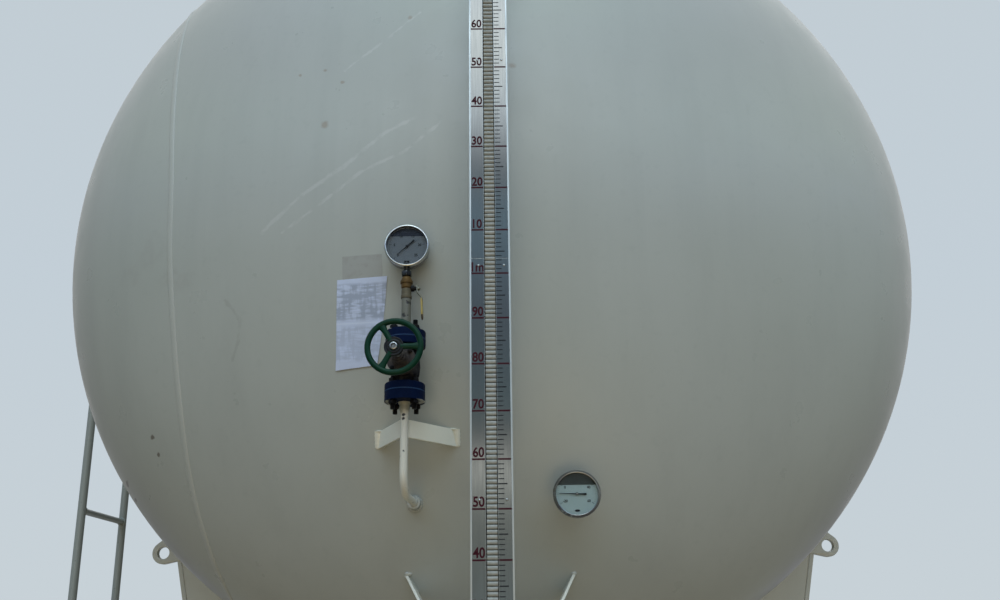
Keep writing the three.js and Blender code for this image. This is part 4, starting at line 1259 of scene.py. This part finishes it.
def add_line():
    boss_y = head_point(BOSS_X, BOSS_Z).y
    toward = aim((BOSS_X, 0, BOSS_Z), (0, -1, 0))
    boss = disc(0.015, -boss_y - 0.012, 0.8258, 0.001, 40).moved(toward)
    make("line_boss", boss, WELD, "pressure_boss")

    mouth, corner = Vector((BOSS_X, -0.8266, BOSS_Z)), Vector((LINE_X, LINE_Y, BOSS_Z))
    start = corner + (mouth - corner).normalized() * 0.050
    path = [mouth] + bend(start, corner, corner + Vector((0, 0, 0.05)))
    path.append((LINE_X, LINE_Y, NECK_LOW_Z + 0.004))
    pipe = tube(path, PIPE_RADIUS, 28)
    neck = [(0, NECK_LOW_Z), (PIPE_RADIUS, NECK_LOW_Z), (NECK_RADIUS, NECK_LOW_Z + 0.009),
            (NECK_RADIUS, LOWER_PAIR_Z[0] - 0.006), (NECK_RADIUS + 0.004, LOWER_PAIR_Z[0]),
            (0, LOWER_PAIR_Z[0])]
    pipe.add(spun(neck, 0.001, 32), LINE)
    make("line_pipe", pipe, PIPE, "pressure_pipe")

    apex = LINE_Y + PIPE_RADIUS + 0.0003
    thick = 0.006
    left, right = LINE_X - NECK_RADIUS, LINE_X + NECK_RADIUS
    outline = [(-0.272, -0.826), (left, apex), (right, apex), (-0.072, -0.841),
               (-0.072 - thick, -0.841 + thick), (right - thick / 2, apex + thick),
               (left + thick / 2, apex + thick), (-0.272 + thick, -0.826 + thick)]
    make("line_bracket", plate([outline], *BRACKET_Z, 0.0006), PALE, "pipe_bracket")

    make("line_boss_weld", collar(BOSS_X, BOSS_Z, 0.0155, 0.0040), WELD)
    welds = Form()
    for foot_x, top_x, reach in ((-0.2665, -0.2630, 0.0095), (-0.0825, -0.0930, 0.0125)):
        heights = between((BRACKET_Z[0], 0), (BRACKET_Z[1], 0), 12)
        path = [head_point(foot_x, height.x) for height in heights]
        ups = [head_normal(foot_x, point.z) for point in path]
        swell = [(1 + 0.08 * sin(step * 2.3), 1 + 0.12 * sin(step * 2.3)) for step in range(13)]
        swell[0], swell[-1] = (0.6, 0.6), (1.0, 1.0)
        welds.add(swept(path, circle(0.0080, 16, 0.5), ups=ups, scales=swell))
        top = head_point(top_x, BRACKET_Z[1] - 0.001)
        welds.add(turned(BLOB, 20), at(*top) @ Matrix.Diagonal((reach, 0.0060, 0.0030, 1)))
    make("line_bracket_welds", welds, PALE)

    for name, (low, high) in (("lower_flange", LOWER_PAIR_Z[:2]), ("upper_flange", UPPER_PAIR_Z[1:])):
        make(f"line_{name}", disc(FLANGE_RADIUS, low, high, 0.0014, 72).moved(LINE), NAVY, name)
    joints = Form()
    for z in (LOWER_PAIR_Z[1], UPPER_PAIR_Z[1]):
        joint = ring(FLANGE_RADIUS - 0.002, FLANGE_RADIUS + 0.0003, z - 0.0014, z + 0.0014, 0.0004, 72)
        joints.add(joint, LINE)
    make("line_flange_joints", joints, JOINT_HIGHLIGHT_BLUE)
    studs = Form()
    for (low, _, high), below, above in ((LOWER_PAIR_Z, 0.012, 0.004), (UPPER_PAIR_Z, 0.004, 0.012)):
        places = about((LINE_X, LINE_Y, 0), 4, STUD_CIRCLE, pi / 4)
        studs.add(fasteners(places, LINE_BOLT, low, high, below, above))
    make("line_flange_studs", studs, BLACK)

    low, high = UPPER_PAIR_Z[2], BALL_VALVE_Z[0] + 0.001
    riser = [(0, low - 0.002), (0.0150, low - 0.002), (0.0150, low + 0.003), (0.01065, low + 0.008),
             (0.01065, high), (0, high)]
    make("line_riser", spun(riser, 0.001, 32).moved(LINE), SHADED_RISER_PAINT, "riser_pipe")


# The valve's bonnet, stem and wheel face forward, 3 degrees to the left
WHEEL_AXIS = Vector((-0.052336, -0.99863, 0.0))
WHEEL = aim((LINE_X, LINE_Y, VALVE_Z), WHEEL_AXIS)


def add_globe_valve():
    bottom, top = LOWER_PAIR_Z[2], UPPER_PAIR_Z[0]
    waist, belly = 0.0235, 0.0335
    profile = [(0, LOWER_PAIR_Z[1] + 0.0003), (FLANGE_RADIUS, LOWER_PAIR_Z[1] + 0.0003),
               (FLANGE_RADIUS, bottom), (waist + 0.004, bottom), (waist, bottom + 0.006),
               (waist + 0.002, bottom + 0.012), (belly - 0.002, VALVE_Z - 0.022), (belly, VALVE_Z),
               (belly - 0.002, VALVE_Z + 0.022), (waist + 0.002, top - 0.012), (waist, top - 0.006),
               (waist + 0.004, top), (FLANGE_RADIUS, top), (FLANGE_RADIUS, UPPER_PAIR_Z[1] - 0.0003),
               (0, UPPER_PAIR_Z[1] - 0.0003)]
    casting = spun(profile, 0.003, 72, 3).moved(LINE)
    make("globe_valve_casting", casting, VALVE, "globe_valve_body")

    bonnet = Form()
    bonnet.add(disc(0.0245, 0.020, 0.046, 0.001, 48))
    bonnet.add(disc(0.032, 0.0455, 0.0515, 0.0012, 60))
    bonnet.add(disc(0.032, 0.0520, 0.0580, 0.0012, 60))
    throat = [(0, 0.055), (0.0215, 0.0575), (0.0165, 0.063), (0.0140, 0.072), (0.0140, 0.079), (0, 0.079)]
    bonnet.add(spun(throat, 0.002, 40, 3))
    bonnet.add(nut(0.030, 0.0785, 0.0905))
    bonnet.add(spun([(0, 0.090), (0.0115, 0.090), (0.0105, 0.096), (0, 0.096)], 0.001, 32))
    make("globe_valve_cover", bonnet.moved(WHEEL), IRON, "globe_valve_bonnet")
    bolts = Form()
    for place in about((0, 0, 0), 4, 0.0268, pi / 4):
        bolts.add(nut(0.0095, 0.0580, 0.0635), place)
        bolts.add(thread(0.0028, 0.057, 0.0665, 0.001, 12), place)
        bolts.add(nut(0.0095, 0.0400, 0.0456), place)
    make("globe_valve_cover_bolts", bolts.moved(WHEEL), BLACK)

    stem = thread(0.0062, 0.094, 0.1500, 0.0024, 24)
    stem.add(turned(post(0.0040, 0.146, 0.1562), 24))
    make("valve_stem_thread", stem.moved(WHEEL), STEM, "globe_valve_stem", body="handwheel")


def add_handwheel():
    wheel = Form()
    rim = [(RIM_MIDDLE * cos(a), RIM_MIDDLE * sin(a), WHEEL_PLANE) for a in turns(96)]
    wheel.add(swept(rim, circle(RIM_RADIUS, 20), True, [UP] * 96))
    for a in turns(3):
        out = Vector((cos(a), sin(a), 0))
        start = out * 0.010 + Vector((0, 0, WHEEL_PLANE + 0.001))
        end = out * (RIM_MIDDLE - 0.001) + Vector((0, 0, WHEEL_PLANE))
        swell = [(1.0 + 0.55 * max(0, t - 0.65) / 0.35 + 0.25 * max(0, 0.3 - t) / 0.3, 1.0 + 0.15 * t)
                 for t in (step / 14 for step in range(15))]
        wheel.add(swept(between(start, end, 14), circle(0.0062, 20, 0.70), ups=[UP] * 15, scales=swell))
    make("handwheel_rim_and_spokes", wheel.moved(WHEEL), GREEN, "handwheel", body="handwheel", sharp=60)

    hub = [(0, 0.1455), (0.0160, 0.1455), (0.0210, 0.1475), (0.0210, 0.1525), (0.0197, 0.1550),
           (0.0182, 0.1550), (0.0170, 0.1538), (0.0152, 0.1538), (0.0142, 0.1556), (0.0118, 0.1560),
           (0.0108, 0.1546), (0, 0.1546)]
    make("handwheel_hub", spun(hub, 0.0006, 60).moved(WHEEL), HUB, body="handwheel")
    cap = turned([(0.0040, 0.1545), (0.0088, 0.1545), (0.0092, 0.1552), (0.0090, 0.1578), (0.0076, 0.1592),
                  (0.0056, 0.1594), (0.0046, 0.1584)], 36, hexagon(0.0165))
    make("handwheel_nut", cap.moved(WHEEL), SCREW, body="handwheel")


def add_ball_valve():
    foot, crown = (LINE @ at(0, 0, z) for z in BALL_VALVE_Z)
    lower = [(0, 0), (0.0118, 0), (0.0124, 0.001), (0.0124, 0.0075), (0.0114, 0.0085), (0.0114, 0.0235),
             (0, 0.0235)]
    make("ball_valve_end", spun(lower, 0.001, 48).moved(foot), PALE_BRONZE)
    middle = [(0, 0.023), (0.0100, 0.023), (0.0100, 0.0252), (0.0122, 0.0256), (0.0124, 0.037), (0, 0.037)]
    body = spun(middle, 0.001, 48).moved(foot)
    body.add(disc(0.0146, -0.0180, -0.0103, 0.001, 12), crown)
    cone = [(0, -0.0105), (0.0126, -0.0105), (0.0122, -0.007), (0.0087, -0.0005), (0, -0.0005)]
    body.add(spun(cone, 0.0015, 48, 3), crown)
    make("ball_valve_casting", body, BRONZE, "ball_valve")
    side = aim((LINE_X, LINE_Y, LEVER_Z), (1, 0, 0))
    neck = spun([(0, 0.010), (0.0075, 0.010), (0.0070, 0.0175), (0, 0.0175)], 0.001, 28)
    neck.add(turned(post(0.0048, 0.016, 0.0228), 20))
    make("ball_valve_spindle", neck.moved(side), DIAL_BLACK)

    outline = [(0, 0.0075), (0, -0.0095), (0.0112, -0.0235), (0.0115, -0.070), (0.0140, -0.070),
               (0.0137, -0.0225), (0.0025, -0.0085), (0.0025, 0.0075)]
    flat = plate([outline], -LEVER_HALF, LEVER_HALF, 0.0004)
    upright = at(LEVER_X, LINE_Y, LEVER_Z) @ Matrix.Rotation(pi / 2, 4, "X")
    make("lever_bar", flat.moved(upright), LEVER_STEEL, "ball_valve_lever", body="ball_valve_lever")
    nut_place = aim((LEVER_X + 0.0024, LINE_Y, LEVER_Z), (1, 0, 0))
    bolt = nut(0.0085, 0, 0.0046).add(thread(0.0024, 0.004, 0.0064, 0.0009, 14))
    make("lever_nut", bolt.moved(nut_place), LEVER_STEEL, body="ball_valve_lever")
    section = softened([(-0.0064, 0), (-0.0064, -0.0022), (0.0064, -0.0022), (0.0064, 0.0022),
                        (-0.0064, 0.0022), (-0.0064, 0)], 0.0015)[:-1]
    start = Vector((LEVER_X + 0.0113, LINE_Y, LEVER_Z - 0.0235))
    path = between(start, start + Vector((0.0018, 0, -0.0405)), 10)
    ups = [Vector((1, 0, 0))] * 11
    waves = [1 + 0.05 * sin(step * 0.9) for step in range(1, 11)]
    swell = [(0.86, 0.8)] + [(wave, wave) for wave in waves]
    make("lever_sleeve", swept(path, section, ups=ups, scales=swell), SLEEVE, body="ball_valve_lever")
    path = between(path[-1], path[-1] + Vector((0.0003, 0, -0.0102)), 5)
    swell = [(1.0, 1.0), (1.01, 1.02), (1.0, 1.0), (0.97, 0.95), (0.9, 0.85), (0.72, 0.6)]
    tip = swept(path, section, ups=ups[:6], scales=swell)
    make("lever_sleeve_tip", tip, SLEEVE_TIP, body="ball_valve_lever")


# Dials

def dial_marks(radius, numbers, first, last, size):
    """Ticks and plain numbers round a dial's face, about Z, at z = 0."""
    form = Form()
    count = (len(numbers) - 1) * 10
    for step in range(count + 1):
        angle = radians(first + (last - first) * step / count)
        long = step % 10 == 0
        length = radius * (0.14 if long else 0.09 if step % 5 == 0 else 0.055)
        half = 0.00045 if long else 0.0002
        tick = block((radius - length, -half, 0), (radius, half, 0.0002), 0.00005)
        form.add(tick, Matrix.Rotation(angle, 4, "Z"))
    for index, words in enumerate(numbers):
        angle = radians(first + (last - first) * index / (len(numbers) - 1))
        reach = radius * 0.70
        digits = lettering(words, size, 0.0002, 0.9, 0.035)
        form.add(digits, at(reach * cos(angle), reach * sin(angle) - size / 2, 0.0001))
    return form


def pointer(length, tail, angle, width=0.0016):
    """A tapered pointer about Z with its boss."""
    side = [(-tail, width * 1.6), (-tail * 0.5, width * 1.1), (length * 0.5, width * 0.6), (length, 0.0007)]
    outline = [(x, -y) for x, y in side] + side[::-1]
    form = plate([outline], 0, 0.0006, 0.00015)
    form.add(disc(0.0034, -0.0005, 0.0014, 0.0004, 24))
    return form.moved(Matrix.Rotation(angle, 4, "Z"))


def add_pressure_gauge():
    face_on = aim((LINE_X, LINE_Y, GAUGE_Z), (0, -1, 0))
    case = [(0, -0.0158), (0.0430, -0.0158), (0.0490, -0.0145), (0.0509, -0.0105), (0.0511, -0.0040),
            (0.0511, 0.0042), (0.0480, 0.0042), (0.0480, 0.0070), (0.0460, 0.0070), (0.0460, 0.0040),
            (0, 0.0040)]
    body = spun(case, 0.002, 80, 3)
    body.add(disc(0.006, -0.0160, -0.0150, 0.0003, 24), at(0, 0.030, 0))
    make("pressure_gauge_case", body.moved(face_on), CASE, "pressure_gauge")
    rim = [(0.0466, 0.0080), (0.0500, 0.0062), (0.0516, 0.0062), (0.0520, 0.0075), (0.0520, 0.0122),
           (0.0515, 0.0140), (0.0506, 0.0151), (0.0493, 0.0157), (0.0480, 0.0158), (0.0474, 0.0154),
           (0.0470, 0.0140)]
    make("pressure_gauge_bezel", turned(rim, 96).moved(face_on), BEZEL)
    make("pressure_gauge_face", disc(0.0462, 0.0038, 0.0052, 0.0003, 72).moved(face_on), GAUGE_FACE)
    marks = dial_marks(0.0420, ("0", "5", "10", "15", "20", "25"), 225, -45, 0.0068)
    marks = marks.moved(at(0, 0, 0.0052))
    marks.add(block((-0.006, -0.0385, 0.0051), (0.006, -0.0345, 0.0056), 0.0002))
    marks.add(pointer(0.0280, 0.0225, radians(222)), at(0, 0, 0.0078))
    make("pressure_gauge_marks", marks.moved(face_on), DIAL_BLACK)
    make("pressure_gauge_glass", disc(0.0464, 0.0115, 0.0130, 0.0004, 72).moved(face_on), GLASS)

    socket = nut(0.0215, BALL_VALVE_Z[1], BALL_VALVE_Z[1] + 0.0130)
    neck = [(0, 0.012), (0.0085, 0.012), (0.0072, 0.016), (0.0072, 0.022), (0.0090, 0.025),
            (0.0090, 0.034), (0, 0.034)]
    socket.add(spun(neck, 0.001, 32), at(0, 0, BALL_VALVE_Z[1]))
    make("pressure_gauge_socket", socket.moved(LINE), DARK_SOCKET)


def add_thermometer():
    face_on = aim(THERMOMETER, (0, -1, 0))
    radius = THERMOMETER_RADIUS
    surface = head_point(THERMOMETER.x, THERMOMETER.z).y
    toward = aim((THERMOMETER.x, 0, THERMOMETER.z), (0, -1, 0))
    boss = disc(0.013, -surface - 0.012, -THERMOMETER_BOSS_Y, 0.001, 40)
    make("thermometer_pocket", boss.moved(toward), FITTING, "thermometer_boss")
    make("thermometer_weld", collar(THERMOMETER.x, THERMOMETER.z, 0.0145, 0.005), WELD)

    case = [(radius, -0.0600), (radius - 0.0070, -0.0600), (radius - 0.0070, -0.0222), (0.010, -0.0218),
            (0.002, -0.0200), (0.001, -0.0175), (0.001, -0.0118), (0.006, -0.0118), (0.006, -0.0090),
            (radius, -0.0090)]
    body = spun([(radius - inward, z) for inward, z in case], 0.0015, 80, 3)
    body.add(nut(0.0220, -0.0585, -0.0480))
    body.add(nut(0.0190, -0.0330, -0.0235))
    make("thermometer_case", body.moved(face_on), CASE, "thermometer")
    rim = [(0.0066, -0.0090), (0.0030, -0.0110), (0.0010, -0.0115), (0, -0.0100), (0, -0.0064),
           (0.0006, -0.0056), (0.0046, -0.0008), (0.0054, -0.0002), (0.0062, -0.0004), (0.0066, -0.0014)]
    rim = [(radius - inward, z) for inward, z in rim]
    make("thermometer_bezel", turned(rim, 96).moved(face_on), DARK_BEZEL)
    make("thermometer_face", disc(radius - 0.0066, -0.0094, -0.0080, 0.0003, 72).moved(face_on), WARM_FACE)
    marks = dial_marks(0.0440, ("-20", "0", "20", "40", "60"), 210, -30, 0.0068)
    marks = marks.moved(at(0, 0, -0.0080))
    oval = [(0.0062 * cos(a), -0.0372 + 0.0027 * sin(a)) for a in turns(28)]
    marks.add(plate([oval], -0.0081, -0.0074, 0.0002))
    marks.add(pointer(0.0395, 0.0212, radians(178)), at(0, 0, -0.0056))
    make("thermometer_marks", marks.moved(face_on), DIAL_BLACK)
    make("thermometer_pointer_cap", disc(0.0018, -0.0042, -0.0034, 0.0003, 20).moved(face_on), SCREW)
    make("thermometer_glass", disc(radius - 0.0064, -0.0040, -0.0026, 0.0004, 72).moved(face_on), GLASS)


# Sheet and tape

def on_head(corners, across, down, low, high, wave=0.0, bulge=0.0):
    """A thin skin on the head between four corners, given as x and z."""
    a, b, c, d = (Vector(corner) for corner in corners)
    points = []
    for lift in (low, high):
        for row in range(down + 1):
            v = row / down
            for column in range(across + 1):
                u = column / across
                spot = a.lerp(b, u).lerp(d.lerp(c, u), v)
                spot = spot + Vector((bulge * sin(pi * v) * u, 0))
                curl = wave * (0.5 + 0.5 * sin(7.0 * v + 2.0 * u)) * abs(2 * u - 1)
                curl += wave * 1.4 * max(0.0, v - 0.75) * 4
                base = head_point(spot.x, spot.y)
                points.append(base + head_normal(spot.x, spot.y) * (lift + curl))
    width = across + 1
    layer = width * (down + 1)
    faces = []
    for row in range(down):
        for column in range(across):
            i = row * width + column
            faces.append((i, i + 1, i + width + 1, i + width))
            faces.append((layer + i, layer + i + width, layer + i + width + 1, layer + i + 1))
    edge = [column for column in range(across)] + [across + row * width for row in range(down)]
    edge += [layer - 1 - column for column in range(across)] + [(down - row) * width for row in range(down)]
    for first, second in zip(edge, edge[1:] + edge[:1]):
        faces.append((first, layer + first, layer + second, second))
    return Form(points, faces).outward()


def add_sheet():
    sheet = on_head(SHEET_CORNERS, 14, 24, 0.0007, 0.0011, 0.0010, 0.003)
    make("ruled_sheet", sheet, PAPER, "inspection_sheet")
    make("sheet_tape", on_head(TAPE_CORNERS, 10, 8, 0.0003, 0.0006), TAPE)


# Top fittings

def add_top():
    low, joint, top = MANHOLE_ZS
    stand = at(0, MANHOLE_Y, 0)
    neck = [(MANHOLE_NECK - 0.012, 2.86), (MANHOLE_NECK, 2.86), (MANHOLE_NECK, low),
            (MANHOLE_RADIUS, low), (MANHOLE_RADIUS, joint), (MANHOLE_NECK - 0.012, joint)]
    profile = softened([neck[0]] + neck[1:] + [neck[0]], 0.0025)[:-1]
    make("manhole_neck_and_flange", turned(profile, 96).moved(stand), FITTING, "manhole_neck")
    cover = [(0, joint + 0.002), (MANHOLE_RADIUS - 0.055, joint + 0.002),
             (MANHOLE_RADIUS - 0.055, joint + 0.004), (MANHOLE_RADIUS, joint + 0.004), (MANHOLE_RADIUS, top),
             (0, top)]
    make("manhole_cover_plate", spun(cover, 0.002, 96).moved(stand), FITTING,
         "manhole_cover")
    gasket = disc(MANHOLE_RADIUS - 0.050, joint - 0.001, joint + 0.0045, 0.0005, 96)
    make("manhole_gasket", gasket.moved(stand), DIAL_BLACK)
    bolts = fasteners(about((0, MANHOLE_Y, 0), 20, MANHOLE_RADIUS - 0.030), MANHOLE_BOLT, low, top)
    make("manhole_bolts", bolts, BLACK)

    rings = []
    for centre, reach, count in ((MANHOLE_Y, MANHOLE_NECK, 96), (RELIEF_Y, RELIEF_NECK + 0.001, 40)):
        spots = [(reach * cos(a), centre + reach * sin(a)) for a in turns(count)]
        rings.append([Vector((x, y, AXIS_Z + sqrt(SHELL_RADIUS ** 2 - x * x))) for x, y in spots])
    ups = [Vector((point.x, 0, point.z - AXIS_Z)).normalized() for point in rings[0]]
    welds = swept(rings[0], circle(0.009, 10), True, ups)
    welds.add(swept(rings[1], circle(0.006, 10), True, [UP] * 40))
    make("top_fitting_welds", welds, WELD)

    base = RELIEF_FLANGE_Z[0]
    stand = at(0, RELIEF_Y, 0)
    valve = Form()
    valve.add(turned(post(RELIEF_NECK, 2.90, base + 0.01), 48))
    valve.add(flange_pair(0.095, *RELIEF_FLANGE_Z))
    body = [(0, 0.045), (0.050, 0.048), (0.045, 0.056), (0.062, 0.080), (0.062, 0.205), (0.058, 0.212),
            (0.058, 0.222), (0.045, 0.235), (0.045, 0.322), (0.038, 0.330), (0, 0.330)]
    valve.add(spun(body, 0.004, 64, 3), at(0, 0, base))
    make("relief_valve_body", valve.moved(stand), FITTING, "relief_valve")
    studs = fasteners(about((0, RELIEF_Y, 0), 8, 0.076, pi / 8), RELIEF_BOLT, *RELIEF_FLANGE_Z)
    make("relief_valve_bolts", studs, BLACK)


# Floor and light

def add_floor():
    """A plain round floor under and round the tank."""
    sides = 96
    points = [(0, 2, -0.0005)]
    for reach in (3.0, 12.0, 40.0):
        points += [(reach * cos(a), 2 + reach * sin(a), -0.0005) for a in turns(sides)]
    mesh = bpy.data.meshes.new("floor")
    mesh.from_pydata(points, [], bands([1, sides, sides, sides], sides, False))
    floor = Shader("floor_paint", None, (0.58, 0.55, 0.48), 0.9)
    floor.set("Base Color", floor.mix(floor.noise(2.0, 3), (0.59, 0.56, 0.49), (0.56, 0.535, 0.465)))
    mesh.materials.append(floor.material)
    piece = bpy.data.objects.new("floor", mesh)
    bpy.context.scene.collection.objects.link(piece)
    piece.visible_diffuse = False
    piece.visible_glossy = False


def grey(level):
    return (level, level, level)


# Light round the tank: degrees away from straight behind the camera, then elevation and radiance
SKY_LIGHT = (
    (0, ((-90, (0.12, 0.11, 0.10)), (-45, (0.64, 0.52, 0.20)), (-15, (1.95, 1.58, 1.05)),
         (0, (0.50, 0.63, 0.67)), (6, (0.53, 0.59, 0.55)), (8.5, (0.75, 0.84, 0.81)),
         (9.7, (2.85, 2.95, 2.80)), (11.5, grey(0.16)), (14, (0.31, 0.47, 0.54)),
         (20, (0.28, 0.35, 0.44)), (26, (0.44, 0.72, 0.92)), (29, grey(0.31)),
         (32, (2.30, 2.65, 2.93)), (36, (3.15, 3.45, 3.51)), (48, (2.60, 3.20, 4.00)),
         (65, (3.03, 3.90, 3.97)), (90, (2.25, 2.95, 2.80)))),
    (35, ((-90, grey(0.10)), (-45, grey(0.12)), (-15, grey(0.15)), (18, grey(0.20)),
          (27, (0.58, 0.72, 1.34)), (36, (1.55, 2.22, 2.47)), (48, (0.60, 0.65, 1.06)),
          (65, (0.82, 1.28, 1.46)), (90, (1.56, 2.13, 1.94)))),
    (75, ((-90, grey(0.10)), (-45, grey(0.12)), (-15, (0.15, 0.18, 0.15)), (18, (0.20, 0.32, 0.33)),
          (27, (0.60, 0.75, 1.10)), (36, (0.82, 1.05, 0.88)), (48, (0.60, 0.62, 0.74)),
          (65, (0.70, 0.74, 1.09)), (90, (0.99, 1.32, 1.23)))),
    (115, ((-90, grey(0.12)), (-45, grey(0.15)), (-15, grey(0.20)), (0, grey(0.25)), (18, grey(0.40)),
           (36, grey(0.60)), (65, grey(0.80)), (90, grey(0.90)))),
    (150, ((-90, grey(0.15)), (-45, (0.70, 0.78, 0.62)), (-15, (0.25, 0.25, 0.35)), (0, grey(0.45)),
           (18, grey(0.80)), (36, grey(1.00)), (90, grey(1.00)))),
)
LIGHT_SCALE = 5.0
RIGHT_SHARE = 0.18
SEEN_SKY = ((0, (0.575, 0.640, 0.680)), (20, (0.545, 0.620, 0.680)), (45, (0.535, 0.605, 0.650)),
            (90, (0.53, 0.60, 0.64)))


def add_sky():
    """A soft overcast sky, brightest above the roofs behind the camera. The camera sees it plain."""
    world = bpy.data.worlds.new("sky")
    world.use_nodes = True
    bpy.context.scene.world = world
    tree = world.node_tree

    def node(kind, inputs=None, **settings):
        return wired(tree, kind, inputs, **settings).outputs[0]

    def maths(operation, first, second=0.0, third=0.0):
        return node("ShaderNodeMath", {0: first, 1: second, 2: third}, operation=operation)

    def ramp(stops, scale):
        made = wired(tree, "ShaderNodeValToRGB", {0: elevation})
        marks = made.color_ramp.elements
        while len(marks) < len(stops):
            marks.new(0.5)
        for mark, (degrees, colour) in zip(marks, stops):
            mark.position = (degrees + 90) / 180
            mark.color = (*(value / scale for value in colour), 1)
        return made.outputs[0]

    place = wired(tree, "ShaderNodeTexCoord").outputs["Generated"]
    x, y, z = wired(tree, "ShaderNodeSeparateXYZ", {0: place}).outputs
    elevation = node("ShaderNodeMapRange", {0: maths("ARCSINE", z), 1: -pi / 2, 2: pi / 2})
    azimuth = maths("ARCTAN2", maths("ABSOLUTE", x), maths("MULTIPLY", y, -1.0))
    light = ramp(SKY_LIGHT[0][1], LIGHT_SCALE)
    for (before, _), (after, stops) in zip(SKY_LIGHT, SKY_LIGHT[1:]):
        share = node("ShaderNodeMapRange", {0: azimuth, 1: radians(before), 2: radians(after)})
        inputs = {0: share, 6: light, 7: ramp(stops, LIGHT_SCALE)}
        light = wired(tree, "ShaderNodeMix", inputs, data_type="RGBA").outputs[2]
    sideways = maths("MULTIPLY_ADD", x, RIGHT_SHARE, 1.0)
    strength = maths("MULTIPLY", sideways, LIGHT_SCALE)
    lit = tree.nodes["Background"]
    plug(tree, lit.inputs["Color"], light)
    plug(tree, lit.inputs["Strength"], strength)
    seen = node("ShaderNodeBackground", {0: ramp(SEEN_SKY, 1.0)})
    ray = wired(tree, "ShaderNodeLightPath").outputs["Is Camera Ray"]
    chosen = node("ShaderNodeMixShader", {0: ray, 1: lit.outputs[0], 2: seen})
    plug(tree, tree.nodes["World Output"].inputs["Surface"], chosen)


add_camera()
add_shell()
add_saddles()
add_ladder()
add_gauge_column()
add_gauge_front()
add_struts()
add_line()
add_globe_valve()
add_handwheel()
add_ball_valve()
add_pressure_gauge()
add_thermometer()
add_sheet()
add_top()
add_floor()
add_sky()
bpy.context.scene.view_settings.view_transform = "Standard"
